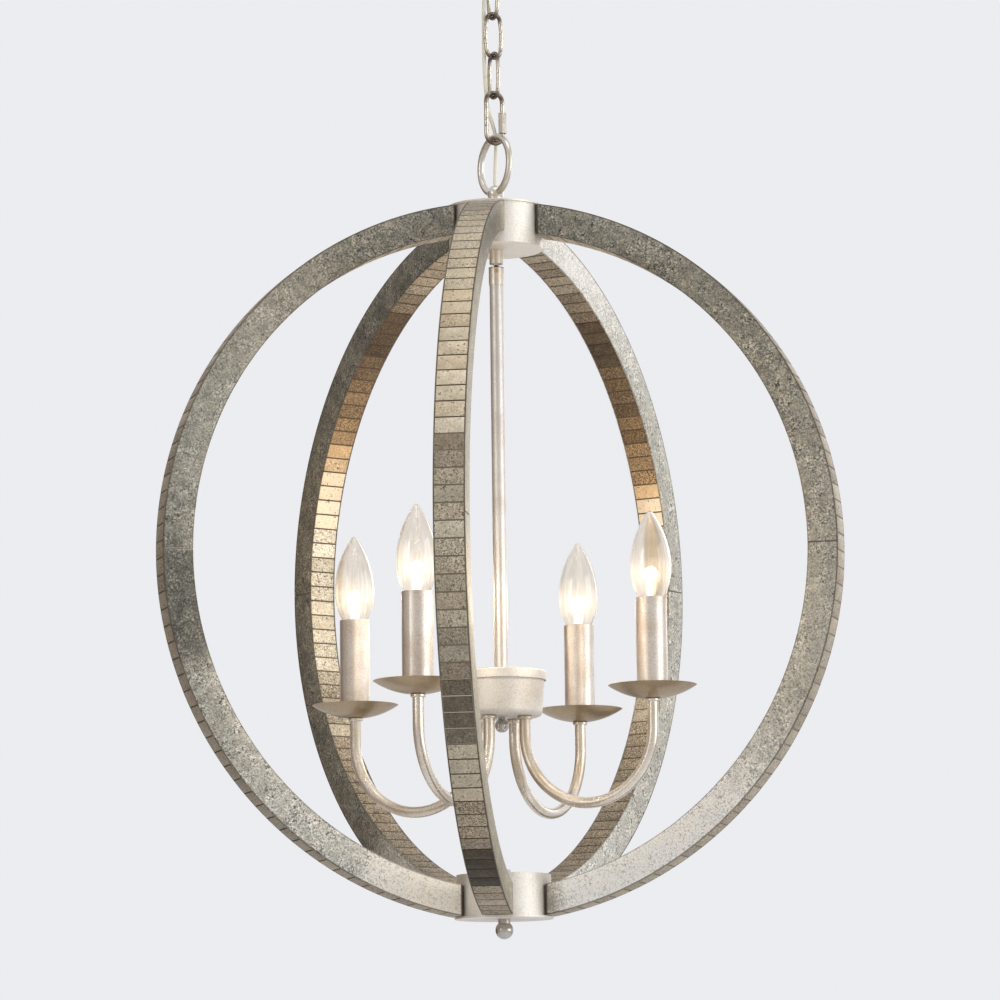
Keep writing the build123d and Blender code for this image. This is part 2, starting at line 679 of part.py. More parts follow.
def pan_dish_centre():
    """How far above its floor the centre of the dish's round underside lies."""
    return (PAN_RADIUS ** 2 - PAN_FLOOR_RADIUS ** 2 + PAN_DEPTH ** 2) / (2 * PAN_DEPTH)


def pan_rise(radius, offset):
    """The dish's height over its floor at a radius, on a face drawn in by an offset."""
    rise = pan_dish_centre()
    reach = math.hypot(PAN_FLOOR_RADIUS, rise) - offset
    return rise - math.sqrt(reach ** 2 - radius ** 2)


def pan():
    def dish_point(radius, offset):
        return (radius, 0, pan_floor + pan_rise(radius, offset))

    mid = (PAN_FLOOR_RADIUS + PAN_RADIUS) / 2
    rim_outer = dish_point(PAN_RADIUS, 0)
    rim_inner = (PAN_RADIUS - PAN_WALL / 2, 0, pan_floor + PAN_DEPTH + PAN_WALL / 4)
    floor_top = pan_floor + PAN_WALL
    foot_inner = (PAN_FLOOR_RADIUS, 0, floor_top)
    return turned(
        Line((arm_hole, 0, pan_floor), (PAN_FLOOR_RADIUS, 0, pan_floor)),
        ThreePointArc((PAN_FLOOR_RADIUS, 0, pan_floor), dish_point(mid, 0), rim_outer),
        Line(rim_outer, rim_inner),
        ThreePointArc(rim_inner, dish_point(mid, PAN_WALL), foot_inner),
        Line(foot_inner, (arm_hole, 0, floor_top)),
        Line((arm_hole, 0, floor_top), (arm_hole, 0, pan_floor)),
    )


def candle_sleeve():
    bottom = pan_floor + pan_rise(sleeve_radius, PAN_WALL) + SEAT_PLAY
    return tube(sleeve_radius, sleeve_bore, bottom, sleeve_top)


def lampholder():
    foot = pan_floor + PAN_WALL + SEAT_PLAY
    body = cylinder(holder_foot_radius, foot, holder_top)
    body += cylinder(holder_radius, foot + HOLDER_FOOT_HEIGHT, holder_top)
    body -= cylinder(arm_hole, foot, arm_top + SEAT_PLAY)
    socket_bottom = holder_top - BULB_BASE_LENGTH - HOLDER_SOCKET_ROOM
    return body - cylinder(BULB_BASE_RADIUS + SCREW_PLAY, socket_bottom, holder_top)


def bulb_base():
    """The screw base: a shell with rounded thread crests over a contact button."""
    top = bulb_neck_level
    bottom = top - BULB_BASE_LENGTH
    crest = BULB_BASE_RADIUS
    root = BULB_BASE_RADIUS - BULB_THREAD_DEPTH
    points = [(0, bottom), (BULB_BUTTON_RADIUS, bottom), (root, bottom + BULB_THREAD_PITCH)]
    turns = int((BULB_BASE_LENGTH - 2 * BULB_THREAD_PITCH) / BULB_THREAD_PITCH)
    for index in range(turns):
        level = bottom + BULB_THREAD_PITCH * (index + 1)
        points.append((crest, level + BULB_THREAD_PITCH / 2))
        points.append((root, level + BULB_THREAD_PITCH))
    points += [(crest, points[-1][1] + BULB_THREAD_DEPTH), (crest, top), (0, top)]
    return turned(rows(*points))


def bulb_side(end_radius, end_level, inset):
    """An arc of the bulb's side from its belly, upright there, to an end point, drawn in by an inset."""
    reach = abs(end_level - bulb_belly_level)
    drop = BULB_BELLY_RADIUS - end_radius
    bend = (drop ** 2 + reach ** 2) / (2 * drop) - inset
    centre = BULB_BELLY_RADIUS - inset - bend

    def point(level):
        return (centre + math.sqrt(bend ** 2 - (level - bulb_belly_level) ** 2), 0, level)

    middle = (bulb_belly_level + end_level) / 2
    return ThreePointArc(point(bulb_belly_level), point(middle), point(end_level))


def bulb_outline(inset):
    """Edges of the bulb's side from its neck up to its tip, drawn in by an inset."""
    lower = bulb_side(BULB_MOUTH_RADIUS, sleeve_top, inset)
    upper = bulb_side(BULB_SHOULDER_RADIUS, bulb_shoulder_level, inset)
    tip = BULB_TIP_RADIUS - inset / 2
    tip_top = bulb_tip_level - inset
    tip_centre = tip_top - BULB_TIP_RADIUS
    slope = math.sqrt(0.5)
    return [
        Line((BULB_NECK_RADIUS - inset, 0, bulb_neck_level), lower @ 1),
        lower,
        upper,
        Line(upper @ 1, (tip, 0, tip_centre)),
        ThreePointArc(
            (tip, 0, tip_centre),
            (slope * tip, 0, tip_centre + slope * BULB_TIP_RADIUS),
            (0, 0, tip_top),
        ),
    ]


def bulb_glass():
    return turned(
        *bulb_outline(0.0),
        Line((0, 0, bulb_tip_level), (0, 0, bulb_tip_level - BULB_GLASS)),
        *bulb_outline(BULB_GLASS),
        Line((BULB_NECK_RADIUS - BULB_GLASS, 0, bulb_neck_level), (BULB_NECK_RADIUS, 0, bulb_neck_level)),
    )


# Cord, leads and splice caps

def corner_radii(points):
    """For each corner of a route, the largest arc that leaves both of its runs room."""
    radii = []
    for before, corner, after in zip(points, points[1:], points[2:]):
        first = Vector(*corner) - Vector(*before)
        second = Vector(*after) - Vector(*corner)
        half_turn = math.radians(first.get_angle(second)) / 2
        radii.append(CORD_BEND_SHARE * min(first.length, second.length) / math.tan(half_turn))
    return radii


def cord_along(points, radius):
    path = FilletPolyline(*points, radius=corner_radii(points))
    start = Plane(origin=points[0], z_dir=Vector(*points[1]) - Vector(*points[0]))
    return sweep(start * Circle(radius), path)


def supply_cord():
    beside = CORD_BESIDE_CHAIN
    behind = CORD_BEHIND_RING
    route = [
        (0, 0, -STRAP_THICKNESS),
        (0, 0, loop_centre + LOOP_MEAN_RADIUS - LOOP_WIRE),
        (*beside, loop_seat - LOOP_WIRE / 2),
        (*beside, quick_top - 2 * QUICK_WIRE - CHAIN_PLAY),
        (*behind, ring_top + LINK_WIRE / 2),
        (*behind, quick_bottom - CORD_RADIUS),
        (0, 0, ring_centre - BALL_RADIUS),
        (0, 0, cord_end),
    ]
    print("supply cord radii", [round(radius, 1) for radius in corner_radii(route)])
    return cord_along(route, CORD_RADIUS)


def hub_lead():
    return cylinder(CORD_RADIUS, ear_bottom, cord_end - SEAT_PLAY)


def cap_place(side):
    """Where a splice cap stands in the can: midway between two arms, on the front (+1) or back (-1)."""
    return direction(ARM_AZIMUTH + 180.0 / ARM_COUNT) * CAP_PLACE_RADIUS * side


def lamp_leads():
    place = cap_place(1)
    stem_lead = cord_along([
        (0, 0, ear_bottom - CORD_RADIUS),
        (0, 0, stem_bottom),
        (place.X, place.Y, can_floor + CAP_HEIGHT + CORD_RADIUS),
    ], CORD_RADIUS)
    inside = can_floor + ARM_IN_CAN
    arm_leads = [bar_along_arm(azimuth, LEAD_RADIUS, inside, arm_top) for azimuth in arm_azimuths]
    return solids_of(stem_lead, *arm_leads)


def splice_caps():
    cap = turned(rows(
        (0, can_floor + SEAT_PLAY), (CAP_RADIUS, can_floor + SEAT_PLAY),
        (CAP_TIP_RADIUS, can_floor + CAP_HEIGHT), (0, can_floor + CAP_HEIGHT),
    ))
    return solids_of(*[Pos(cap_place(side)) * cap for side in (1, -1)])


def all_nodes():
    """Every node's name with its shape."""
    nodes = {
        "mounting_strap": mounting_strap(),
        "ground_screw": ground_screw(),
        "strap_nipple": strap_nipple(),
        "nipple_nut": nipple_nut(),
        "canopy": canopy(),
        "canopy_loop": canopy_loop(),
        "canopy_collar": canopy_collar(),
        "supply_cord": supply_cord(),
        "quick_link": quick_link(),
        "quick_link_nut": quick_link_nut(),
        "hanging_ring": hanging_ring(),
        "ring_ball": ring_ball(),
        "hub_nipple": hub_nipple(),
        "top_hub": hub_drum(1, top_hub_bottom, top_hub_top, nipple_hole),
        "top_hub_plate": hub_plate(top_hub_top, nipple_hole),
        "bottom_hub": hub_drum(-1, bottom_hub_top, bottom_hub_bottom, FINIAL_SHANK_RADIUS + THREAD_PLAY),
        "bottom_hub_plate": hub_plate(bottom_plate_bottom, FINIAL_SHANK_RADIUS + THREAD_PLAY),
        "arch_screws": arch_screws(),
        "arch_side_plates": arch_side_plates(),
        "bottom_finial": bottom_finial(),
        "finial_nut": finial_nut(),
        "swivel_fork": swivel_fork(),
        "hub_lead": hub_lead(),
        "swivel_barrel": swivel_barrel(),
        "swivel_screws": swivel_screws(),
        "stem": stem(),
        "can_lid": can_lid(),
        "cluster_can": cluster_can(),
        "can_ball": can_ball(),
        "can_nuts": can_nuts(),
        "arm_collars": arm_collars(),
        "candle_pans": on_candles(pan()),
        "candle_sleeves": on_candles(candle_sleeve()),
        "lampholders": on_candles(lampholder()),
        "lamp_leads": lamp_leads(),
        "splice_caps": splice_caps(),
    }
    for index, (top, azimuth) in enumerate(zip(link_tops, link_azimuths), 1):
        link = bowed_link(LINK_LENGTH, LINK_WIDTH, LINK_WIRE, LINK_BOW, top, azimuth)
        nodes[f"chain_link_{index}"] = link
    for index, azimuth in enumerate(ARCH_AZIMUTHS, 1):
        nodes[f"arch_{index}"] = arch_band(azimuth)
    glass, base = bulb_glass(), bulb_base()
    for index, azimuth in enumerate(arm_azimuths, 1):
        nodes[f"arm_{index}"] = arm(azimuth)
        nodes[f"bulb_glass_{index}"] = at_candle(azimuth, glass)
        nodes[f"bulb_base_{index}"] = at_candle(azimuth, base)
    return nodes


os.makedirs("parts", exist_ok=True)
for name, shape in all_nodes().items():
    export_step(shape, f"parts/{name}.step")
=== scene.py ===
import json
import math
import random
from contextlib import contextmanager

import bpy
from mathutils import Matrix, Vector


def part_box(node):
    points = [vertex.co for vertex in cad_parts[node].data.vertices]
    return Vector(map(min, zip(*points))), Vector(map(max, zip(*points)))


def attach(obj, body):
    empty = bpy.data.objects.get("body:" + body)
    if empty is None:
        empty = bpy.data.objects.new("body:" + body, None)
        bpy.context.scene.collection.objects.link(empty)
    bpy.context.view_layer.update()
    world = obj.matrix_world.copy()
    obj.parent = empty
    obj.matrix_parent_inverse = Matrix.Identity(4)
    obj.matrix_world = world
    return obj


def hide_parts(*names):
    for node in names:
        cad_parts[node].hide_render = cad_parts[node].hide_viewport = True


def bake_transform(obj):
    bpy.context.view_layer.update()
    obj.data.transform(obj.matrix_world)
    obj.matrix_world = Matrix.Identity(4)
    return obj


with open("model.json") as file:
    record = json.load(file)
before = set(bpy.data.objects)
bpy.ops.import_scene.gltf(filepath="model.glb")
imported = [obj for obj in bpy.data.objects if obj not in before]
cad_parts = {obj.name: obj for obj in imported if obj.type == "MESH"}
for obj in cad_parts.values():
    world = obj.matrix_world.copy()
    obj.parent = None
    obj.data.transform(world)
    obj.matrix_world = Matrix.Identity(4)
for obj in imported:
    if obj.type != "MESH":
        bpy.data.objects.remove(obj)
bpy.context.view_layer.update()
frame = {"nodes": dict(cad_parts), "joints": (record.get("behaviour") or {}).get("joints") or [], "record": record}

# The looks of an orb chandelier: slatted arches in aged leaf, satin champagne fittings and lit candle bulbs.
# Metres and degrees. The ceiling is z = 0 and the hanging axis is the Z axis.

MM = 0.001

# The photograph's view, as a camera beside the orb's centre
CAMERA_BACK = 4.01367
CAMERA_BELOW_ORB = 0.53381
CAMERA_YAW = 0.0002
CAMERA_PITCH = 0.1449
CAMERA_ROLL = -0.0123
CAMERA_LENS = 169.32
CAMERA_SENSOR = 36.0
CAMERA_REACH = 100.0

# Arches
ARCH_BEND_RADIUS = 311.6 * MM
ARCH_DEPTH = 26.2 * MM
PLATE_THICKNESS = 0.8 * MM
PLATE_SEAM = 0.5 * MM
PLATE_EDGE = 0.18 * MM
SLAT_COUNT = 61
SLAT_THICKNESS = 1.3 * MM
SLAT_EDGE = 0.22 * MM
SLAT_END_GAP = 0.35 * MM
KERF_WIDTH = 1.0 * MM
KERF_DEPTH = 0.5 * MM
SLAT_TILT = 0.5
SLAT_LIFT = 0.09 * MM
SEAT_PLAY = 0.1 * MM
ARCH_SEED = 41

# Bulbs
BULB_NECK_RADIUS = 6.8 * MM
BULB_MOUTH_RADIUS = 11.0 * MM
BULB_BELLY_RISE = 25.0 * MM
BULB_SHOULDER_RADIUS = 6.2 * MM
BULB_SHOULDER_RISE = 66.5 * MM
BULB_GLASS = 0.8 * MM
FILAMENT_RISE = 20.0 * MM
FILAMENT_SPAN = 9.0 * MM
FILAMENT_GLOW = 6.0 * MM
FILAMENT_CROWN = 4.5 * MM
FILAMENT_COIL_RADIUS = 1.3 * MM
FILAMENT_WIRE = 0.4 * MM
FILAMENT_TURNS = 12
FILAMENT_ABOVE_FOOT = 9.0 * MM
SUPPORT_WIRE = 0.25 * MM
SUPPORT_HOLD = 1.0 * MM
BULB_LIGHT = 0.40
BULB_TINT = (1.0, 0.88, 0.73)

# The glass foot under the filament, as (radius, rise) in millimetres from its bottom and from its top
FOOT_BELOW = [(5.2, 0), (3.6, 5), (2.4, 11)]
FOOT_ABOVE = [(2.2, -4), (2.9, -2), (2.4, 0)]
FOOT_TIP = 0.8 * MM

# Where a support wire leaves the foot, as (offset, rise) in millimetres from the middle of its top
SUPPORT_FOOT = [(1.6, -3), (2.2, 1)]

# Cord
CORD_RADIUS = 1.7 * MM
CORD_ROUTE = [
    (0, 0, -2), (0, 0, -38), (-8.4, 2.3, -56), (-8.4, 2.3, -164.5),
    (1.2, 8.2, -193.1), (1.2, 8.2, -206.9), (0, 0, -230.1), (0, 0, -244.3),
]
CORD_BEND_REACH = 13.0 * MM
CHAIN_BODIES = ["ceiling_fitting", "upper_link", "middle_link", "lower_link", "quick_link", "orb_frame"]

FLOOR_LEVEL = -2.4
FLOOR_SIZE = 40.0

# How finely curves are divided, and how near points merge
GLASS_STEPS = 48
LOWER_GLASS_STEPS = 10
UPPER_GLASS_STEPS = 14
TIP_GLASS_STEPS = 6
FOOT_STEPS = 32
PLATE_STEPS = 48
CORE_STEPS = 96
COIL_STEPS = 8
SUPPORT_STEPS = 4
WIRE_SIDES = 2
CORD_SIDES = 5
CORD_STEPS = 24
EDGE_ROUNDING = 2
MERGE = 0.001 * MM

# The sharpest turns, in degrees, that are shaded smooth or left unrounded
SMOOTH_TURN = 40.0
SLAT_SMOOTH_TURN = 30.0
GLASS_SMOOTH_TURN = 60.0
UNROUNDED_TURN = 35.0


# Places read from the frame

def middle(node):
    low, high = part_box(node)
    return (low + high) / 2


def azimuth_of(node):
    """The direction in which a node lies from the hanging axis, in radians."""
    place = middle(node)
    return math.atan2(place.y, place.x)


def half_width(node):
    low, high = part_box(node)
    return (high.x - low.x) / 2


def span(node):
    """The lowest and highest level of a node."""
    low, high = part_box(node)
    return low.z, high.z


orb_centre = middle("arch_side_plates").z
hub_radius = half_width("top_hub")
arch_end = hub_radius + SEAT_PLAY
orb_radius = 2 * middle("arch_1").to_2d().length - arch_end
arch_centre = Vector((orb_radius - ARCH_BEND_RADIUS, 0, orb_centre))
arch_inner_radius = ARCH_BEND_RADIUS - ARCH_DEPTH
plate_spread = ARCH_DEPTH / 2
band_spread = plate_spread - PLATE_THICKNESS
slat_pitch = 2 * math.acos((arch_end - arch_centre.x) / ARCH_BEND_RADIUS) / SLAT_COUNT
arch_reach = SLAT_COUNT * slat_pitch / 2 + slat_pitch
candle_places = [middle(f"bulb_glass_{number}").to_2d() for number in range(1, 5)]
sleeve_top = span("candle_sleeves")[1]
filament_level = sleeve_top + FILAMENT_RISE
chain_levels = sorted((joint["pos_m"][2] for joint in frame["joints"]
                       if joint["type"] == "hinge" and joint["child"] in CHAIN_BODIES), reverse=True)


# Modelling by operators

def take(piece):
    """Makes a piece the only selected and active object."""
    bpy.ops.object.select_all(action="DESELECT")
    piece.select_set(True)
    bpy.context.view_layer.objects.active = piece
    return piece


@contextmanager
def editing(piece):
    take(piece)
    bpy.ops.object.mode_set(mode="EDIT")
    bpy.ops.mesh.select_all(action="SELECT")
    yield
    bpy.ops.object.mode_set(mode="OBJECT")


def started(name):
    """The primitive that was just added, under its own name."""
    piece = bpy.context.object
    piece.name = name
    piece.data.name = name
    return piece


def settle(piece):
    """Moves a piece's place into its mesh."""
    take(piece)
    bpy.ops.object.transform_apply(location=True, rotation=True, scale=True)
    return piece


def smooth(piece, angle=SMOOTH_TURN):
    take(piece)
    bpy.ops.object.shade_smooth_by_angle(angle=math.radians(angle))
    return piece


def with_modifier(piece, kind, **settings):
    """Adds a modifier with its settings and applies it."""
    take(piece)
    modifier = piece.modifiers.new(kind.lower(), kind)
    for key, value in settings.items():
        setattr(modifier, key, value)
    bpy.ops.object.modifier_apply(modifier=modifier.name)
    return piece


def eased(piece, width):
    """Rounds a piece's sharp edges and shades the rest smooth."""
    with_modifier(piece, "BEVEL", width=width, segments=EDGE_ROUNDING, limit_method="ANGLE",
                  angle_limit=math.radians(UNROUNDED_TURN), harden_normals=False)
    return smooth(piece)


def arc(centre, radius, start, end, steps):
    """Outline points on an arc about a (radius, level) centre, from one angle to another in degrees."""
    points = []
    for step in range(steps + 1):
        angle = math.radians(start + (end - start) * step / steps)
        points.append((centre[0] + radius * math.cos(angle), centre[1] + radius * math.sin(angle)))
    return points


def turned(name, outline, steps):
    """A turned piece about the Z axis: an outline of (radius, level) points, drawn and then spun."""
    bpy.ops.mesh.primitive_plane_add(size=MM)
    piece = started(name)
    with editing(piece):
        bpy.ops.mesh.merge(type="CENTER")
        bpy.ops.transform.translate(value=(outline[0][0], 0, outline[0][1]))
        for (radius, level), (next_radius, next_level) in zip(outline, outline[1:]):
            step = (next_radius - radius, 0, next_level - level)
            bpy.ops.mesh.extrude_vertices_move(TRANSFORM_OT_translate={"value": step})
        bpy.ops.mesh.select_all(action="SELECT")
        bpy.ops.mesh.spin(steps=steps, angle=math.tau, center=(0, 0, 0), axis=(0, 0, 1))
        bpy.ops.mesh.select_all(action="SELECT")
        bpy.ops.mesh.remove_doubles(threshold=MERGE)
        bpy.ops.mesh.normals_make_consistent(inside=False)
    return piece


def drawn_wire(name, points, radius, steps):
    """A thin wire in straight runs through its points, as a mesh."""
    bpy.ops.curve.primitive_bezier_curve_add()
    wire = started(name)
    line = wire.data.splines[0]
    line.bezier_points.add(len(points) - 2)
    for knot, point in zip(line.bezier_points, points):
        knot.co = point
        knot.handle_left_type = knot.handle_right_type = "VECTOR"
    return wire_mesh(wire, radius, WIRE_SIDES, steps)


def wire_mesh(wire, radius, sides, steps):
    """Gives a curve its round section and makes it a closed mesh."""
    wire.data.dimensions = "3D"
    wire.data.resolution_u = steps
    wire.data.bevel_depth = radius
    wire.data.bevel_resolution = sides
    wire.data.use_fill_caps = True
    take(wire)
    bpy.ops.object.convert(target="MESH")
    settle(wire)
    with editing(wire):
        bpy.ops.mesh.remove_doubles(threshold=MERGE)
        bpy.ops.mesh.normals_make_consistent(inside=False)
    return smooth(wire)


def copy_of(piece, name):
    """A copy of a piece with its own mesh."""
    take(piece)
    bpy.ops.object.duplicate(linked=False)
    return started(name)


def turned_into_place(piece, turn, place=(0, 0)):
    """Turns a piece about the Z axis and moves it level, with its place in its mesh."""
    piece.rotation_euler = (0, 0, turn)
    piece.location = (place[0], place[1], 0)
    return settle(piece)


def moved_copy(piece, name, turn, place):
    return turned_into_place(copy_of(piece, name), turn, place)


def discard(piece):
    bpy.data.objects.remove(piece, do_unlink=True)


def joined(name, pieces):
    bpy.ops.object.select_all(action="DESELECT")
    for piece in pieces:
        piece.select_set(True)
    bpy.context.view_layer.objects.active = pieces[0]
    bpy.ops.object.join()
    return started(name)


def dress(piece, body, finish, nodes):
    """Paints a piece, puts it on its body and hides the nodes it stands for."""
    piece.data.materials.clear()
    piece.data.materials.append(finish)
    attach(piece, body)
    stand_for(nodes)


def stand_for(nodes):
    if nodes:
        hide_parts(*nodes)


# Finishes

class Value:
    """A shader socket that takes part in arithmetic."""

    def __init__(self, finish, socket):
        self.finish = finish
        self.socket = socket

    def maths(self, operation, *others):
        return self.finish.maths(operation, self, *others)

    def __add__(self, other):
        return self.maths("ADD", other)

    def __radd__(self, other):
        return self.finish.maths("ADD", other, self)

    def __sub__(self, other):
        return self.maths("SUBTRACT", other)

    def __rsub__(self, other):
        return self.finish.maths("SUBTRACT", other, self)

    def __mul__(self, other):
        return self.maths("MULTIPLY", other)

    def __rmul__(self, other):
        return self.finish.maths("MULTIPLY", other, self)

    def __truediv__(self, other):
        return self.maths("DIVIDE", other)


class Finish:
    """A material, with its nodes made by short calls."""

    def __init__(self, name):
        self.material = bpy.data.materials.new(name)
        self.material.use_nodes = True
        self.tree = self.material.node_tree
        self.tree.nodes.clear()

    def node(self, kind, settings=None, inputs=None, output=0):
        """Adds a node, sets it, feeds its sockets and gives one of its outputs."""
        made = self.tree.nodes.new("ShaderNode" + kind)
        for key, value in (settings or {}).items():
            if key == "stops":
                self.set_stops(made.color_ramp, value)
            else:
                setattr(made, key, value)
        for key, value in (inputs or {}).items():
            self.feed(made.inputs[key], value)
        return Value(self, made.outputs[output])

    def set_stops(self, ramp, stops):
        while len(ramp.elements) < len(stops):
            ramp.elements.new(1.0)
        for element, (position, colour) in zip(ramp.elements, stops):
            element.position = position
            element.color = (*colour, 1.0)

    def feed(self, socket, value):
        if isinstance(value, Value):
            self.tree.links.new(value.socket, socket)
        elif socket.type == "RGBA" and len(value) == 3:
            socket.default_value = (*value, 1.0)
        else:
            socket.default_value = value

    def maths(self, operation, *values):
        return self.node("Math", {"operation": operation}, dict(enumerate(values)))

    def larger(self, first, second):
        return self.maths("MAXIMUM", first, second)

    def place(self):
        return self.node("TexCoord", output="Object")

    def level(self):
        return self.node("SeparateXYZ", None, {"Vector": self.place()}, "Z")

    def swell(self, level, height, reach):
        """1 at a height, falling away over a reach above and below it."""
        offset = (level - height) / reach
        return self.maths("EXPONENT", -1.0 * offset * offset)

    def attribute(self, name):
        return self.node("Attribute", {"attribute_name": name}, output="Fac")

    def noise(self, size, detail=3.0, roughness=0.55, where=None):
        """Soft noise whose blots are about this size across."""
        return self.node("TexNoise", None, {
            "Vector": where or self.place(), "Scale": 1.0 / size, "Detail": detail, "Roughness": roughness,
        })

    def crystals(self, size):
        """A grey of its own for each crystal of about this size."""
        return self.node("TexVoronoi", None, {"Vector": self.place(), "Scale": 1.0 / size}, "Color")

    def stretched(self, stretch):
        """Object coordinates scaled along each axis."""
        return self.node("Mapping", None, {"Vector": self.place(), "Scale": stretch})

    def between(self, value, low, high):
        """0 below low, 1 above high and smooth between them."""
        return self.node("MapRange", {"interpolation_type": "SMOOTHSTEP"}, {
            "Value": value, "From Min": low, "From Max": high,
        })

    def mix(self, factor, first, second, blend="MIX"):
        return self.node("Mix", {"data_type": "RGBA", "blend_type": blend}, {
            0: factor, 6: first, 7: second,
        }, 2)

    def bump(self, height, depth, strength):
        return self.node("Bump", None, {"Height": height, "Distance": depth, "Strength": strength})

    def surface(self, **inputs):
        """The finished surface, from sockets named in plain words."""
        names = {key.replace("_", " ").title().replace("Ior", "IOR"): value for key, value in inputs.items()}
        return self.output(self.node("BsdfPrincipled", None, names))

    def output(self, shader):
        made = self.tree.nodes.new("ShaderNodeOutputMaterial")
        self.tree.links.new(shader.socket, made.inputs["Surface"])
        return self.material


# Colours of wear, and of painted shade and painted highlight
# Painted shade for the gaps at the swivel
GAP_SHADE_BROWN = (0.10, 0.08, 0.06)
WORN_LINK = (0.13, 0.10, 0.075)
LINK_SPOT = (0.13, 0.095, 0.062)
FOX_BROWN = (0.075, 0.052, 0.034)
# Pale painted highlight in the kerfs, for the bright edges of the slats
KERF_HIGHLIGHT = (0.62, 0.56, 0.46)
PIT_BLACK = (0.040, 0.037, 0.030)
# Darker lines along the plate edges, and painted shadow at the plate ends by the hubs
EDGE_LINE_AND_END_SHADOW = (0.085, 0.064, 0.046)
SEAM_BROWN = (0.085, 0.062, 0.045)
SEAM_PALE = (0.62, 0.58, 0.50)

# Metal leaf and zinc from their darkest tone to their palest, and what warms them, which also tints the painted
# bulb light on the leaf and painted highlights on the zinc
LEAF_TONES = [
    (0.0, (0.040, 0.032, 0.022)), (0.25, (0.160, 0.136, 0.103)), (0.5, (0.315, 0.278, 0.216)),
    (0.75, (0.525, 0.475, 0.365)), (1.0, (0.86, 0.82, 0.71)),
]
LEAF_WARMTH_AND_BULB_LIGHT = (1.0, 0.75, 0.50)
ZINC_TONES = [
    (0.0, (0.045, 0.044, 0.038)), (0.25, (0.150, 0.145, 0.123)), (0.5, (0.318, 0.306, 0.258)),
    (0.75, (0.545, 0.532, 0.478)), (1.0, (0.88, 0.865, 0.83)),
]
ZINC_WARMTH_AND_HIGHLIGHT = (1.0, 0.91, 0.78)

# Clear glass
GLASS_TINT = (1.0, 0.97, 0.92)
GLASS_IOR = 1.45


def satin_champagne(name, light, dark, roughness=0.4, blot=9.0 * MM, mottle=0.14, shaded_gaps=()):
    """Satin metallic lacquer over metal: slow shading, fine mottling, and painted shade in the gaps at the given
    levels.
    """
    finish = Finish(name)
    slow = finish.noise(blot * 4, 2.0)
    fine = finish.noise(blot / 6, 4.0, 0.65)
    worn = finish.between(slow + 0.35 * fine, 0.55, 0.95)
    grain = finish.between(fine, 0.42, 0.68)
    base = finish.mix(worn, light, dark)
    base = finish.mix(mottle * grain, base, tuple(0.5 * part for part in dark))
    # Brown at the given levels paints the shade in the gaps between parts
    for shaded_gap, reach in shaded_gaps:
        level = finish.level()
        offset = finish.maths("ABSOLUTE", level - shaded_gap)
        base = finish.mix(finish.between(offset, reach, 0.6 * reach), base, GAP_SHADE_BROWN)
    return finish.surface(
        base_color=base, metallic=0.92, roughness=roughness + 0.10 * grain + 0.06 * worn,
        normal=finish.bump(fine, 0.02 * MM, 0.3),
    )


def aged_chain():
    """Antique champagne silver wire, brown where the links meet and in small spots."""
    finish = Finish("aged_chain")
    level = finish.level()
    fine = finish.noise(1.1 * MM, 3.0)
    patch = finish.noise(6 * MM, 3.0, 0.6)
    rubbed = finish.between(patch + 0.25 * fine, 0.62, 0.90)
    for meeting in chain_levels:
        rubbed = finish.larger(rubbed, finish.swell(level, meeting, 5 * MM))
    spots = finish.between(finish.noise(1.7 * MM, 3.0, 0.6), 0.57, 0.63)
    base = finish.mix(rubbed, (0.66, 0.61, 0.52), WORN_LINK)
    base = finish.mix(0.75 * spots, base, LINK_SPOT)
    return finish.surface(
        base_color=base, metallic=0.9, roughness=0.22 + 0.12 * rubbed + 0.15 * spots,
        normal=finish.bump(fine, 0.03 * MM, 0.4),
    )


def leafed_slats():
    """Thin metal leaf on the slats: each slat's tone, with painted reflections and painted bulb light in it,
    clouded, and foxed with brown specks in drifts.
    """
    finish = Finish("leafed_slats")
    foxing = finish.attribute("slat_foxing")
    cloud = finish.noise(9 * MM, 3.0, 0.6)
    grain = finish.noise(1.6 * MM, 4.0, 0.7)
    fine = finish.noise(1.1 * MM, 3.0, 0.6)
    # Slat tone paints reflections on the satin leaf and the bulbs' highlights on the inner slats, beside the
    # leaf's own tone
    level = finish.attribute("slat_tone") + 0.32 * (cloud - 0.5) + (0.35 + 0.9 * foxing) * (grain - 0.5)
    leaf = finish.node("ValToRGB", {"stops": LEAF_TONES}, {"Fac": level})
    warm_leaf = finish.mix(1.0, leaf, LEAF_WARMTH_AND_BULB_LIGHT, "MULTIPLY")
    # Slat warmth paints the bulbs' warm light on the inner slats near the candles
    leaf = finish.mix(finish.attribute("slat_warmth"), leaf, warm_leaf)
    drift = finish.between(finish.noise(9 * MM, 2.0), 0.4, 0.6)
    specks = finish.between(fine + 0.13 * foxing, 0.62, 0.68)
    spots = finish.between(finish.noise(2.4 * MM, 3.0, 0.6) + 0.06 * foxing, 0.61, 0.645)
    foxed = finish.larger(specks * (0.25 + 0.6 * foxing), spots * (0.3 + 0.5 * drift))
    foxed = finish.larger(foxed, 0.8 * finish.attribute("slat_edge"))
    leaf = finish.mix(foxed, leaf, FOX_BROWN)
    return finish.surface(
        base_color=leaf, metallic=0.3, roughness=0.48 + 0.25 * foxed + 0.14 * cloud, specular_ior_level=0.3,
        normal=finish.bump(fine + 1.5 * cloud, 0.10 * MM, 0.45),
    )


def slat_core():
    """The bed under the slats, which shows in the kerfs: dark brown, or a pale painted highlight where the kerfs
    stand for bright slat edges.
    """
    finish = Finish("slat_core")
    grain = finish.noise(3 * MM, 4.0)
    base = finish.mix(grain, (0.055, 0.038, 0.025), (0.125, 0.088, 0.058))
    # The pale mix paints the highlight of the slat edges into the kerfs
    base = finish.mix(finish.attribute("kerf_filler"), base, KERF_HIGHLIGHT)
    return finish.surface(base_color=base, roughness=0.75 + 0.15 * grain)


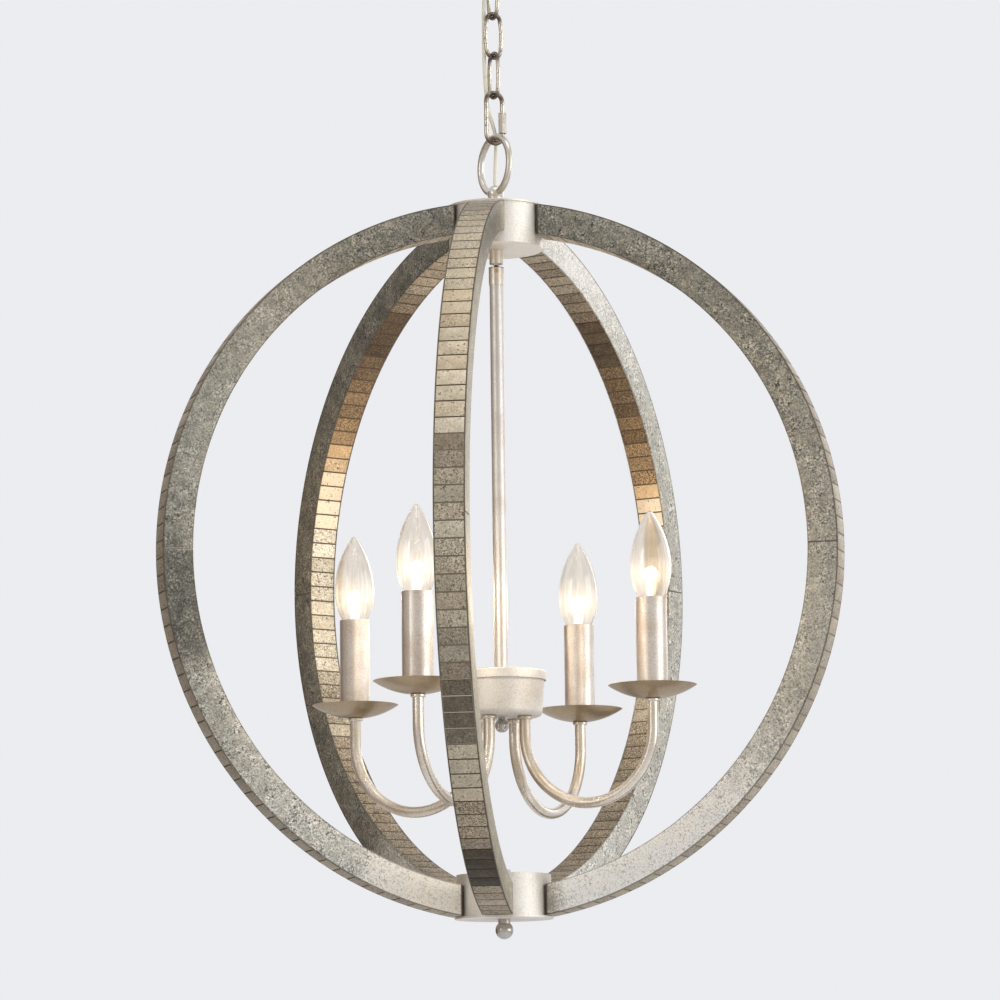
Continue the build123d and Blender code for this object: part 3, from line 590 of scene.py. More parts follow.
def galvanised_sheet():
    """Aged galvanised sheet: crystals under soft blotches, pale flecks, dark pits, lined edges and seam, with
    painted highlights, reflections and shade in its tone and a painted shadow at its ends by the hubs.
    """
    finish = Finish("galvanised_sheet")
    pitting = finish.attribute("plate_pitting")
    across = finish.attribute("plate_across")
    cloud = finish.noise(24 * MM, 3.0)
    blotch = finish.noise(9 * MM, 3.0, 0.6)
    grain = finish.noise(1.8 * MM, 4.0, 0.75)
    fine = finish.noise(1.1 * MM, 2.0)
    crystal = finish.crystals(3.6 * MM)
    drift = finish.between(finish.noise(12 * MM, 2.0), 0.4, 0.6)
    flecks = finish.between(grain, 0.54, 0.58)
    mottle = 0.3 * (cloud - 0.5) + 0.6 * (blotch - 0.5) + 0.10 * (crystal - 0.5) + 0.7 * (grain - 0.5)
    mottle = mottle + 0.45 * (fine - 0.5) + (0.05 + 0.16 * drift) * flecks
    # Plate tone and warmth paint highlights, reflections and shade along the plate, beside the sheet's own tone
    tone = finish.attribute("plate_tone") + (0.35 + 0.65 * pitting) * mottle
    grey = finish.node("ValToRGB", {"stops": ZINC_TONES}, {"Fac": tone})
    warm_grey = finish.mix(1.0, grey, ZINC_WARMTH_AND_HIGHLIGHT, "MULTIPLY")
    tint = finish.attribute("plate_warmth") + 0.5 * pitting * (finish.between(blotch, 0.35, 0.65) - 0.5)
    grey = finish.mix(tint, grey, warm_grey)
    dust = finish.between(fine, 0.42, 0.36)
    specks = finish.between(grain, 0.46, 0.42)
    pits = finish.between(finish.noise(3.0 * MM, 3.0, 0.6), 0.59, 0.63)
    pocks = finish.larger(specks * (0.2 + 0.55 * drift), pits * (0.1 + 0.8 * drift))
    marks = finish.larger(pitting * pocks, (0.2 + 0.35 * pitting) * dust)
    grey = finish.mix(marks, grey, PIT_BLACK)
    seam_line = finish.mix(finish.attribute("plate_line"), SEAM_BROWN, SEAM_PALE)
    seam_edge = finish.between(finish.attribute("plate_seam"), 1.0 * MM, 0.6 * MM)
    outer_edge = finish.between(across, 0.945, 0.965)
    inner_edge = finish.between(across, 0.05, 0.02)
    # Painted shadow on each plate's last millimetres, where it meets the hub
    end_shadow = finish.between(finish.attribute("plate_end"), 2.0 * MM, 1.0 * MM)
    rim = finish.larger(0.75 * outer_edge, 0.5 * inner_edge)
    grey = finish.mix(0.65 * seam_edge, grey, seam_line)
    grey = finish.mix(finish.larger(rim, 0.95 * end_shadow), grey, EDGE_LINE_AND_END_SHADOW)
    return finish.surface(
        base_color=grey, metallic=0.45, roughness=0.44 + 0.14 * grain + 0.15 * marks,
        normal=finish.bump(grain + 0.8 * blotch - 0.6 * marks, 0.18 * MM, 0.7),
    )


def zinc_plate():
    finish = Finish("zinc_plate")
    cloud = finish.noise(5 * MM, 4.0)
    base = finish.mix(cloud, (0.50, 0.51, 0.52), (0.68, 0.69, 0.70))
    return finish.surface(base_color=base, metallic=1.0, roughness=0.3 + 0.2 * cloud)


def green_lacquer():
    finish = Finish("green_lacquer")
    cloud = finish.noise(3 * MM)
    base = finish.mix(cloud, (0.02, 0.16, 0.05), (0.05, 0.28, 0.10))
    return finish.surface(base_color=base, metallic=0.5, roughness=0.35 + 0.15 * cloud)


def plain_brass():
    finish = Finish("plain_brass")
    cloud = finish.noise(4 * MM, 4.0)
    base = finish.mix(finish.between(cloud, 0.4, 0.75), (0.78, 0.60, 0.30), (0.50, 0.36, 0.17))
    return finish.surface(base_color=base, metallic=1.0, roughness=0.25 + 0.2 * cloud)


def cord_jacket():
    """A pale, slightly yellowed cord jacket."""
    finish = Finish("cord_jacket")
    cloud = finish.noise(6 * MM, 3.0)
    base = finish.mix(cloud, (0.74, 0.68, 0.54), (0.86, 0.82, 0.72))
    return finish.surface(
        base_color=base, roughness=0.38 + 0.15 * cloud, coat_weight=0.2,
        normal=finish.bump(finish.noise(0.8 * MM), 0.05 * MM, 0.4),
    )


def moulded_plastic(name, light, dark):
    finish = Finish(name)
    cloud = finish.noise(6 * MM, 4.0)
    return finish.surface(
        base_color=finish.mix(cloud, light, dark), roughness=0.4 + 0.2 * cloud,
        normal=finish.bump(finish.noise(0.7 * MM), 0.04 * MM, 0.4),
    )


def lamp_glass():
    """Faintly tinted glass with upright streaks and a painted warm glow low down, which lets lamp light out."""
    finish = Finish("lamp_glass")
    # The glass's emission paints a warm glow at the filament's height, fading above and below it
    painted_glow_band = finish.swell(finish.level(), filament_level, 14 * MM)
    streak = finish.noise(3 * MM, 2.0, 0.5, finish.stretched((1.0, 1.0, 0.06)))
    streak = finish.between(streak, 0.35, 0.7)
    glow = finish.mix(painted_glow_band * (0.6 + 0.4 * streak), (0.008, 0.007, 0.005), (0.150, 0.122, 0.088))
    glass = finish.node("BsdfPrincipled", None, {
        "Base Color": finish.mix(streak, (0.895, 0.855, 0.80), (0.945, 0.915, 0.87)), "Roughness": 0.09,
        "IOR": GLASS_IOR, "Transmission Weight": 1.0, "Emission Color": glow, "Emission Strength": 1.0,
    })
    clear = finish.node("BsdfTransparent", None, {"Color": GLASS_TINT})
    shadow = finish.node("LightPath", output="Is Shadow Ray")
    return finish.output(finish.node("MixShader", None, {0: shadow, 1: glass, 2: clear}))


def mount_glass():
    """The pressed glass foot that carries the filament, with a painted glow that grows towards the filament above.
    """
    finish = Finish("mount_glass")
    # Emission paints the filament's light on the foot, stronger towards the filament
    painted_glow_rise = finish.between(finish.level(), sleeve_top - 6 * MM, filament_level)
    glow = finish.mix(painted_glow_rise, (0.03, 0.018, 0.006), (0.24, 0.18, 0.09))
    return finish.surface(
        base_color=GLASS_TINT, roughness=0.08, ior=GLASS_IOR, transmission_weight=0.85,
        emission_color=glow, emission_strength=1.0,
    )


def glowing_filament():
    finish = Finish("glowing_filament")
    heat = finish.noise(2 * MM)
    glow = finish.mix(heat, (1.0, 0.80, 0.48), (1.0, 0.92, 0.72))
    return finish.surface(base_color=(0.2, 0.2, 0.2), emission_color=glow, emission_strength=12.0)


# Painted shade in the gaps at the stem's swivel, as (level, reach either way)
SWIVEL_GAP_SHADES = [(span("swivel_barrel")[1] + 0.5 * MM, 1.5 * MM), (span("swivel_barrel")[0], 1.2 * MM)]


class Finishes:
    """Every finish of the object, made once."""
    champagne = satin_champagne("champagne_lacquer", (0.765, 0.735, 0.675), (0.66, 0.605, 0.53), 0.53)
    stem = satin_champagne("stem_lacquer", (0.68, 0.65, 0.615), (0.58, 0.53, 0.48), 0.41)
    arm = satin_champagne("arm_lacquer", (0.78, 0.72, 0.635), (0.55, 0.45, 0.34), 0.26, 10 * MM, 0.12)
    ring = satin_champagne("ring_lacquer", (0.72, 0.69, 0.63), (0.58, 0.53, 0.46), 0.27, 9 * MM, 0.08)
    swivel = satin_champagne("swivel_lacquer", (0.76, 0.71, 0.64), (0.64, 0.57, 0.48), 0.34,
                             shaded_gaps=SWIVEL_GAP_SHADES)
    sleeve = satin_champagne("sleeve_lacquer", (0.755, 0.70, 0.635), (0.62, 0.53, 0.45), 0.38, 7 * MM, 0.3)
    # The pans' dark brown is painted shade and painted warm reflection of the bulbs on their undersides
    pan_with_painted_shade = satin_champagne("pan_lacquer", (0.44, 0.34, 0.225), (0.325, 0.24, 0.15), 0.28, 12 * MM)
    nut = satin_champagne("nut_steel", (0.45, 0.42, 0.37), (0.33, 0.29, 0.24), 0.40, 6 * MM, 0.3)
    pewter = satin_champagne("polished_pewter", (0.52, 0.50, 0.47), (0.42, 0.39, 0.35), 0.16, 8 * MM, 0.1)
    chain = aged_chain()
    slats = leafed_slats()
    core = slat_core()
    plates = galvanised_sheet()
    zinc = zinc_plate()
    green = green_lacquer()
    brass = plain_brass()
    cord = cord_jacket()
    holder = moulded_plastic("holder_plastic", (0.72, 0.68, 0.60), (0.62, 0.58, 0.50))
    cap = moulded_plastic("cap_plastic", (0.75, 0.32, 0.08), (0.62, 0.24, 0.05))
    glass = lamp_glass()
    mount = mount_glass()
    filament = glowing_filament()


SLOT_FINISHES = {
    "champagne": Finishes.champagne, "chain_steel": Finishes.chain, "galvanised": Finishes.plates,
    "leafed_slat": Finishes.slats, "zinc": Finishes.zinc, "ground_green": Finishes.green,
    "cord_jacket": Finishes.cord, "holder_plastic": Finishes.holder, "cap_plastic": Finishes.cap,
    "clear_glass": Finishes.glass, "brass": Finishes.brass,
}


NODE_FINISHES = {
    "candle_pans": Finishes.pan_with_painted_shade, "candle_sleeves": Finishes.sleeve, "bottom_finial": Finishes.pewter,
    "can_ball": Finishes.pewter, "quick_link_nut": Finishes.nut, "stem": Finishes.stem,
    "swivel_fork": Finishes.swivel, "swivel_barrel": Finishes.swivel, "hanging_ring": Finishes.ring,
    "ring_ball": Finishes.ring, "arm_collars": Finishes.arm,
    **{f"arm_{number}": Finishes.arm for number in range(1, 5)},
}


def paint_frame():
    """Every node of the frame takes the finish of its slot, or its own."""
    for subpart in frame["record"]["subparts"]:
        node = subpart["node"]
        shape = frame["nodes"][node]
        shape.data.materials.clear()
        shape.data.materials.append(NODE_FINISHES.get(node, SLOT_FINISHES[subpart["material_slot"]]))


# Arches

# Slats from the lower hub to the upper one, as runs of (slats, tone, warmth, foxing) on the outer face, where the
# tones also paint the room's reflections on the satin leaf
OUTER_RUNS = {
    1: [(1, 0.46, 0.2, 0.5), (4, 0.60, 0.2, 0.6), (4, 0.0, 0.3, 0.3), (1, 0.54, 0.1, 0.7),
        (3, 0.58, 0.2, 0.8), (4, 0.70, 0.1, 0.5), (1, 0.34, 0.1, 0.5), (3, 0.18, 0.1, 0.6),
        (1, 0.42, 0.1, 0.5), (2, 0.55, 0.1, 0.5), (3, 0.64, 0.1, 0.6), (4, 0.75, 0.1, 0.6),
        (2, 0.62, 0.1, 0.5), (1, 0.48, 0.2, 0.5), (1, 0.40, 0.2, 0.5), (4, 0.80, 0.2, 0.2),
        (4, 0.74, 0.3, 0.2), (6, 0.68, 0.3, 0.3), (6, 0.66, 0.2, 0.6), (6, 0.52, 0.1, 0.5)],
    2: [(18, 0.64, 0.1, 0.6), (16, 0.58, 0.1, 0.5), (12, 0.50, 0.2, 0.5), (15, 0.52, 0.2, 0.5)],
    3: [(20, 0.5, 0.2, 0.6), (21, 0.42, 0.2, 0.6), (20, 0.6, 0.3, 0.5)],
    4: [(16, 0.55, 0.2, 0.6), (25, 0.44, 0.2, 0.6), (20, 0.5, 0.3, 0.5)],
    5: [(14, 0.58, 0.1, 0.6), (26, 0.52, 0.1, 0.6), (21, 0.50, 0.1, 0.5)],
}

# The same on the inner face, where two arches have their own, and where tone and warmth paint the bulbs' warm
# light and highlights near the candles
INNER_RUNS = {
    3: [(4, 0.58, 0.2, 0.9), (8, 0.55, 0.2, 1.0), (8, 0.62, 0.2, 0.9), (4, 0.68, 0.1, 0.8),
        (7, 0.76, 0.0, 0.5), (4, 0.90, 0.2, 0.4), (2, 1.05, 0.5, 0.2), (1, 0.84, 0.9, 0.3),
        (3, 0.62, 1.0, 0.8), (2, 0.44, 1.0, 1.0), (4, 0.34, 0.9, 1.0), (4, 0.15, 0.7, 0.7),
        (3, 0.42, 0.3, 0.9), (4, 0.56, 0.2, 0.9), (3, 0.60, 0.2, 0.8)],
    4: [(4, 0.62, 0.2, 0.9), (8, 0.58, 0.2, 1.0), (8, 0.62, 0.2, 0.9), (5, 0.64, 0.0, 0.8),
        (8, 0.77, 0.0, 0.5), (2, 0.90, 0.2, 0.4), (4, 1.05, 0.5, 0.2), (2, 0.84, 0.9, 0.4),
        (2, 0.64, 1.0, 0.8), (3, 0.48, 1.0, 0.9), (2, 0.30, 0.9, 0.8), (4, 0.16, 0.8, 0.7),
        (2, 0.48, 0.4, 0.7), (4, 0.62, 0.3, 0.7), (3, 0.64, 0.2, 0.7)],
}

# Painted highlight in the kerfs of an arch's outer face, standing for the bright edges of the slats, as (slat,
# highlight) from the lower hub up
HIGHLIGHTED_KERFS = {
    1: [(16.2, 0), (16.8, 0.9), (20.2, 0.9), (20.8, 0.25),
        (33.2, 0.25), (33.8, 0.7), (34.2, 0.7), (34.8, 0)],
    2: [(0, 0.35), (SLAT_COUNT, 0.35)],
}

# Looks along the side plates, left and right of each arch seen from outside, from the lower hub up,
# as (slat, tone, warmth, pitting); tone and warmth also hold painted highlights, painted reflections and painted
# shade
PLATE_LOOKS = {
    1: {"left": [(0, 0.6, 0.9, 0.4), (30, 0.6, 0.9, 0.4), (60, 0.5, 0.9, 0.4)],
        "right": [(0, 0.60, 0.9, 0.4), (5, 0.42, 1, 0.4), (16, 0.55, 1, 0.4), (26, 0.64, 1, 0.3),
                  (32, 0.54, 1, 0.3), (46, 0.45, 1, 0.4), (53, 0.22, 1, 0.3), (57, 0.30, 1, 0.3),
                  (60, 0.58, 1, 0.3)]},
    2: {"left": [(0, 0.6, 0.3, 0.5), (1.2, 1.05, 0, 0.5), (7, 1.04, 0.1, 0.5), (13, 0.95, 0.2, 0.6),
                 (20, 0.64, 0.4, 0.8), (29, 0.60, 0.4, 0.8), (31, 0.56, 0.4, 0.9), (40, 0.47, 0.5, 1),
                 (51, 0.38, 0.4, 1), (60, 0.40, 0.1, 1)],
        "right": [(0, 0.7, 0.1, 0.5), (18, 0.55, 0.2, 0.8), (30, 0.48, 0.3, 1), (60, 0.42, 0.2, 1)]},
    3: {"left": [(0, 0.85, 0, 0.6), (8, 0.76, 0.1, 0.8), (14, 0.67, 0.2, 0.9), (30, 0.66, 0.3, 0.9),
                 (42, 0.66, 0.2, 0.8), (50, 0.82, 0.2, 0.6), (56, 0.93, 0.2, 0.4), (60, 0.8, 0.2, 0.5)],
        "right": [(0, 0.75, 0, 0.8), (30, 0.64, 0.1, 0.9), (60, 0.66, 0.1, 0.8)]},
    4: {"left": [(0, 0.6, 0.2, 0.8), (12, 0.4, 0.3, 0.9), (30, 0.32, 0.4, 0.9), (60, 0.36, 0.2, 0.9)],
        "right": [(0, 0.78, 0.4, 0.5), (8, 0.72, 0.3, 0.6), (11, 0.31, 0.2, 0.9), (26, 0.31, 0.5, 0.9),
                  (36, 0.36, 1, 0.8), (44, 0.29, 0.4, 0.9), (60, 0.31, 0.1, 0.9)]},
    5: {"left": [(0, 0.8, 0.5, 0.5), (12, 0.6, 0.1, 0.9), (30, 0.48, 0, 0.9), (60, 0.46, 0.2, 0.9)],
        "right": [(0, 1.04, 0.7, 0.4), (4.5, 1.04, 0.6, 0.45), (6.5, 0.82, 0.2, 0.8), (16, 0.66, 0, 1),
                  (22.5, 0.56, 0, 1), (24, 0.2, 0, 0.9), (29, 0.2, 0, 0.9), (31, 0.39, 0, 0.9),
                  (36, 0.52, 0, 0.8), (48, 0.53, 0.5, 0.7),
                  (53, 0.36, 0.5, 0.9), (60, 0.40, 0.2, 1)]},
}

# How pale the line at each arch's plate seams is, and how far single slats stray from their run
PLATE_LINES = {1: 0.0, 2: 0.0, 3: 0.15, 4: 0.1, 5: 0.75}
SLAT_SPREADS = {"slat_tone": 0.06, "slat_warmth": 0.1, "slat_foxing": 0.25}


def on_runs(knots, place):
    """The values at a place on a run of (place, value, ...) knots, straight between them."""
    for (start, *low), (end, *high) in zip(knots, knots[1:]):
        if place <= end:
            share = max(0.0, place - start) / (end - start)
            return [near + (far - near) * share for near, far in zip(low, high)]
    return knots[-1][1:]


def slat_place(point):
    """Where a point of an arch that lies along +X comes in its row of slats, counted from the lower hub."""
    offset = point - arch_centre
    return math.atan2(offset.z, offset.x) / slat_pitch + (SLAT_COUNT - 1) / 2


def arch_slats(radius, outward):
    """A row of flat slats round one face of an arch that lies along +X, seated on its face's arc."""
    length = radius * slat_pitch - KERF_WIDTH
    bpy.ops.mesh.primitive_cube_add(size=1.0)
    slat = started("slat")
    slat.scale = (SLAT_THICKNESS, 2 * (band_spread - SLAT_END_GAP), length)
    slat.location = (radius - outward * SLAT_THICKNESS / 2, 0, 0)
    settle(slat)
    eased(slat, SLAT_EDGE)
    slat.rotation_euler = (0, slat_pitch * (SLAT_COUNT - 1) / 2, 0)
    settle(slat)
    bpy.ops.object.empty_add(rotation=(0, -slat_pitch, 0))
    pivot = bpy.context.object
    with_modifier(slat, "ARRAY", count=SLAT_COUNT, use_relative_offset=False, use_object_offset=True,
                  offset_object=pivot)
    discard(pivot)
    slat.location = arch_centre
    return settle(slat)


def swept_bar(name, inner, outer, near, far, start, end, steps):
    """A flat bar from one angle of the arch to another, cut off plumb where it meets a hub."""
    bpy.ops.mesh.primitive_plane_add(size=1.0)
    bar = started(name)
    bar.scale = (outer - inner, far - near, 1.0)
    bar.location = ((outer + inner) / 2, (near + far) / 2, 0)
    settle(bar)
    bar.rotation_euler = (0, -start, 0)
    bar.location = arch_centre
    settle(bar)
    with editing(bar):
        bpy.ops.mesh.spin(steps=steps, angle=end - start, center=arch_centre, axis=(0, 1, 0))
        bpy.ops.mesh.select_all(action="SELECT")
        bpy.ops.mesh.remove_doubles(threshold=MERGE)
        bpy.ops.mesh.normals_make_consistent(inside=False)
    cut_at_hub(bar)
    return bar


def cut_at_hub(piece):
    with editing(piece):
        bpy.ops.mesh.bisect(plane_co=(arch_end, 0, 0), plane_no=(1, 0, 0), use_fill=True, clear_inner=True)
    return piece


def arch_plates():
    """The four side plates of an arch that lies along +X, by name."""
    plates = {}
    for side_name, side in (("left", -1), ("right", 1)):
        near, far = sorted((side * band_spread, side * plate_spread))
        for height_name, height in (("low", -1), ("high", 1)):
            seam = height * PLATE_SEAM / 2 / ARCH_BEND_RADIUS
            name = f"{side_name}_{height_name}"
            plate = swept_bar(name, arch_inner_radius, ARCH_BEND_RADIUS, near, far, seam, height * arch_reach,
                              PLATE_STEPS)
            plates[name] = eased(plate, PLATE_EDGE)
    return plates


def set_tone(piece, name, values):
    """Writes one number per point into a named attribute."""
    layer = piece.data.attributes.new(name, "FLOAT", "POINT")
    layer.data.foreach_set("value", values)


def laid_slats(piece, runs, draw):
    """Gives each slat of a row its tone and the small tilt of hand laying."""
    mesh = piece.data
    per_slat = len(mesh.vertices) // SLAT_COUNT
    looks = {name: [] for name in SLAT_SPREADS}
    edges = []
    for count, *values in runs:
        for _ in range(count):
            for name, value in zip(looks, values):
                shade = value + draw.uniform(-SLAT_SPREADS[name], SLAT_SPREADS[name])
                looks[name] += [min(1.0, max(0.0, shade))] * per_slat
    for slat in range(SLAT_COUNT):
        points = mesh.vertices[slat * per_slat:(slat + 1) * per_slat]
        centre = sum((point.co for point in points), Vector()) / per_slat
        outwards = (centre - arch_centre).normalized()
        along = Vector((-outwards.z, 0, outwards.x))
        places = [abs((point.co - centre).dot(along)) for point in points]
        edges += [float(place > max(places) - SLAT_EDGE / 2) for place in places]
        tilt = Matrix.Rotation(math.radians(draw.uniform(-SLAT_TILT, SLAT_TILT)), 3, "Y")
        lift = outwards * draw.uniform(-SLAT_LIFT, 0)
        for point in points:
            point.co = centre + tilt @ (point.co - centre) + lift
    for name, values in (*looks.items(), ("slat_edge", edges)):
        set_tone(piece, name, values)
    return cut_at_hub(piece)


def arch_core(core, number):
    """An arch's bed, with a painted highlight in some kerfs of its outer face."""
    made = copy_of(core, f"arch_{number}_core")
    knots = HIGHLIGHTED_KERFS.get(number, [(0, 0), (SLAT_COUNT, 0)])
    middle_radius = (arch_inner_radius + ARCH_BEND_RADIUS) / 2
    set_tone(made, "kerf_filler", [
        on_runs(knots, slat_place(point.co))[0] if (point.co - arch_centre).length > middle_radius else 0.0
        for point in made.data.vertices
    ])
    return made


def toned_plate(plate, number, name):
    """A copy of a side plate with its own looks, painted highlights, reflections and shade among them, and its
    places across and along for edges, seam and the painted end shadow.
    """
    made = copy_of(plate, f"arch_{number}_plate_{name}")
    knots = PLATE_LOOKS[number][name.split("_")[0]]
    points = [point.co for point in made.data.vertices]
    offsets = [(point - arch_centre) * Vector((1, 0, 1)) for point in points]
    looks = [on_runs(knots, slat_place(point)) for point in points]
    for place, layer in enumerate(("plate_tone", "plate_warmth", "plate_pitting")):
        set_tone(made, layer, [look[place] for look in looks])
    set_tone(made, "plate_across", [(offset.length - arch_inner_radius) / ARCH_DEPTH for offset in offsets])
    set_tone(made, "plate_seam", [abs(offset.z) for offset in offsets])
    set_tone(made, "plate_end", [point.x - arch_end for point in points])
    set_tone(made, "plate_line", [PLATE_LINES[number]] * len(points))
    return made


def arches():
    outer = arch_slats(ARCH_BEND_RADIUS, 1)
    inner = arch_slats(arch_inner_radius, -1)
    core = swept_bar("core", arch_inner_radius + KERF_DEPTH, ARCH_BEND_RADIUS - KERF_DEPTH,
                     -band_spread, band_spread, -arch_reach, arch_reach, CORE_STEPS)
    plates = arch_plates()
    for number in range(1, 6):
        draw = random.Random(ARCH_SEED + number)
        turn = azimuth_of(f"arch_{number}")
        rows = [laid_slats(copy_of(outer, "outer_row"), OUTER_RUNS[number], draw),
                laid_slats(copy_of(inner, "inner_row"), INNER_RUNS.get(number, INNER_RUNS[4]), draw)]
        slats = smooth(joined(f"arch_{number}_slats", rows), SLAT_SMOOTH_TURN)
        bed = arch_core(core, number)
        dress(turned_into_place(slats, turn), "orb_frame", Finishes.slats, [f"arch_{number}"])
        dress(turned_into_place(bed, turn), "orb_frame", Finishes.core, [f"arch_{number}"])
        for name, plate in plates.items():
            made = turned_into_place(toned_plate(plate, number, name), turn)
            dress(made, "orb_frame", Finishes.plates, ["arch_side_plates"])
    for piece in (outer, inner, core, *plates.values()):
        discard(piece)


# Bulbs

def bulb_outline():
    """The glass from its neck to its tip, about the Z axis: two arcs and a tip that carries on from them."""
    neck, tip = span("bulb_glass_1")
    belly_radius = half_width("bulb_glass_1")
    belly = sleeve_top + BULB_BELLY_RISE
    shoulder = sleeve_top + BULB_SHOULDER_RISE

    def side(end_radius, end_level):
        """The bend and sweep of an arc that leaves the belly upright and ends at a point."""
        drop = belly_radius - end_radius
        bend = (drop ** 2 + (end_level - belly) ** 2) / (2 * drop)
        return bend, math.degrees(math.asin((end_level - belly) / bend))

    lower_bend, lower_sweep = side(BULB_MOUTH_RADIUS, sleeve_top)
    upper_bend, upper_sweep = side(BULB_SHOULDER_RADIUS, shoulder)
    lean = math.radians(upper_sweep)
    peak = shoulder + BULB_SHOULDER_RADIUS / math.tan(lean)
    tip_radius = (peak - tip) * math.sin(lean) / (1 - math.sin(lean))
    outline = [(BULB_NECK_RADIUS, neck)]
    outline += arc((belly_radius - lower_bend, belly), lower_bend, lower_sweep, 0, LOWER_GLASS_STEPS)
    outline += arc((belly_radius - upper_bend, belly), upper_bend, 0, upper_sweep, UPPER_GLASS_STEPS)[1:]
    return outline + arc((0, tip - tip_radius), tip_radius, upper_sweep, 90, TIP_GLASS_STEPS)


def bulbs():
    glass = turned("glass", bulb_outline(), GLASS_STEPS)
    smooth(with_modifier(glass, "SOLIDIFY", thickness=BULB_GLASS, offset=-1.0), GLASS_SMOOTH_TURN)
    foot = filament_foot()
    wires = filament_wires()
    for number, place in enumerate(candle_places, 1):
        body = f"bulb_{number}"
        turn = place.angle_signed(Vector((1, 0)))
        dress(moved_copy(glass, f"bulb_{number}_glass", turn, place), body, Finishes.glass,
              [f"bulb_glass_{number}"])
        dress(moved_copy(foot, f"bulb_{number}_mount", turn, place), body, Finishes.mount, [])
        for name, (wire, finish) in wires.items():
            dress(moved_copy(wire, f"bulb_{number}_{name}", turn, place), body, finish, [])
        bulb_light(number, place)
    for piece in (glass, foot, *[wire for wire, _ in wires.values()]):
        discard(piece)


def filament_foot():
    bottom = span("bulb_glass_1")[0] + BULB_GLASS
    top = filament_level - FILAMENT_ABOVE_FOOT
    outline = [(0, bottom), *[(radius * MM, bottom + rise * MM) for radius, rise in FOOT_BELOW],
               *[(radius * MM, top + rise * MM) for radius, rise in FOOT_ABOVE], (0, top + FOOT_TIP)]
    foot = turned("foot", outline, FOOT_STEPS)
    return smooth(with_modifier(foot, "SUBSURF", levels=1, render_levels=1), GLASS_SMOOTH_TURN)


def filament_wires():
    """The coiled filament over its crown and the two wires that hold it."""
    crown = filament_level
    points = []
    steps = FILAMENT_TURNS * COIL_STEPS
    for step in range(steps + 1):
        share = step / steps
        sweep = math.pi * (share - 0.5)
        turn = math.tau * FILAMENT_TURNS * share
        along = Vector((math.sin(sweep) * FILAMENT_SPAN / 2, 0, crown + math.cos(sweep) * FILAMENT_CROWN))
        outwards = Vector((math.sin(sweep), 0, math.cos(sweep)))
        round_coil = math.cos(turn) * outwards + math.sin(turn) * Vector((0, 1, 0))
        points.append(along + FILAMENT_COIL_RADIUS * round_coil)
    coil = drawn_wire("coil", points, FILAMENT_WIRE, steps=1)
    foot_top = crown - FILAMENT_ABOVE_FOOT
    supports = []
    for side in (-1, 1):
        route = [(side * offset * MM, 0, foot_top + rise * MM) for offset, rise in SUPPORT_FOOT]
        route += [(side * FILAMENT_SPAN / 2, 0, crown + hold) for hold in (-SUPPORT_HOLD, SUPPORT_HOLD)]
        supports.append(drawn_wire(f"support_{side}", route, SUPPORT_WIRE, SUPPORT_STEPS))
    return {"filament": (coil, Finishes.filament), "supports": (joined("supports", supports), Finishes.brass)}


def bulb_light(number, place):
    bpy.ops.object.light_add(type="POINT", location=(place.x, place.y, filament_level))
    lamp = bpy.context.object
    lamp.name = f"bulb_{number}_light"
    lamp.data.color = BULB_TINT
    lamp.data.energy = BULB_LIGHT
    lamp.data.shadow_soft_size = FILAMENT_GLOW
    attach(lamp, f"bulb_{number}")


# Supply cord

def supply_cord():
    """The cord beside the chain, cut midway along each link into one length for each joint."""
    bpy.ops.curve.primitive_nurbs_path_add()
    cord = started("supply_cord_line")
    cord.data.splines.clear()
    line = cord.data.splines.new("NURBS")
    line.points.add(len(CORD_ROUTE) - 1)
    for knot, point in zip(line.points, CORD_ROUTE):
        knot.co = (*[MM * part for part in point], 1.0)
    line.order_u = 3
    line.use_endpoint_u = True
    cord = wire_mesh(cord, CORD_RADIUS, CORD_SIDES, CORD_STEPS)
    cuts = [(upper + lower) / 2 for upper, lower in zip(chain_levels, chain_levels[1:])]
    tops = [None, *cuts]
    bottoms = [*cuts, None]
    for number, (level, top, bottom) in enumerate(zip(chain_levels, tops, bottoms), 1):
        length = copy_of(cord, f"supply_cord_{number}")
        with editing(length):
            if top is not None:
                bpy.ops.mesh.bisect(plane_co=(0, 0, top), plane_no=(0, 0, 1), use_fill=True,
                                    clear_outer=True)
                bpy.ops.mesh.select_all(action="SELECT")
            if bottom is not None:
                bpy.ops.mesh.bisect(plane_co=(0, 0, bottom), plane_no=(0, 0, 1), use_fill=True,
                                    clear_inner=True)
        length.data.materials.clear()
        length.data.materials.append(Finishes.cord)
        above, below = CHAIN_BODIES[number - 1], CHAIN_BODIES[number]
        level + CORD_BEND_REACH
        level - CORD_BEND_REACH
        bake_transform(length)
        stand_for(["supply_cord"])
    discard(cord)


# Stage, light and camera

# The surround's tints along its lean, from the left front to the right behind
SURROUND_LEAN = (0.26, 0.40, 0.16)
SURROUND_TINTS = [(0.64, 0.615, 0.585), (0.78, 0.775, 0.77), (0.84, 0.845, 0.87)]
SURROUND_MIDDLE = 0.45
SURROUND_PALEST = 0.86

# Softboxes, as name: (place from the orb's centre, width, height, watts, tint)
SOFTBOXES = {
    "right_softbox": ((2.8, -1.2, 0.4), 2.4, 2.4, 36.0, (1.0, 1.0, 1.0)),
    "left_softbox": ((-2.4, -2.2, 0.8), 0.6, 1.8, 12.0, (1.0, 0.95, 0.88)),
    "top_softbox": ((0.2, -0.6, 2.6), 1.6, 1.6, 20.0, (1.0, 1.0, 1.0)),
    "back_softbox": ((1.6, 2.4, 0.8), 1.2, 1.2, 9.0, (1.0, 1.0, 1.0)),
}

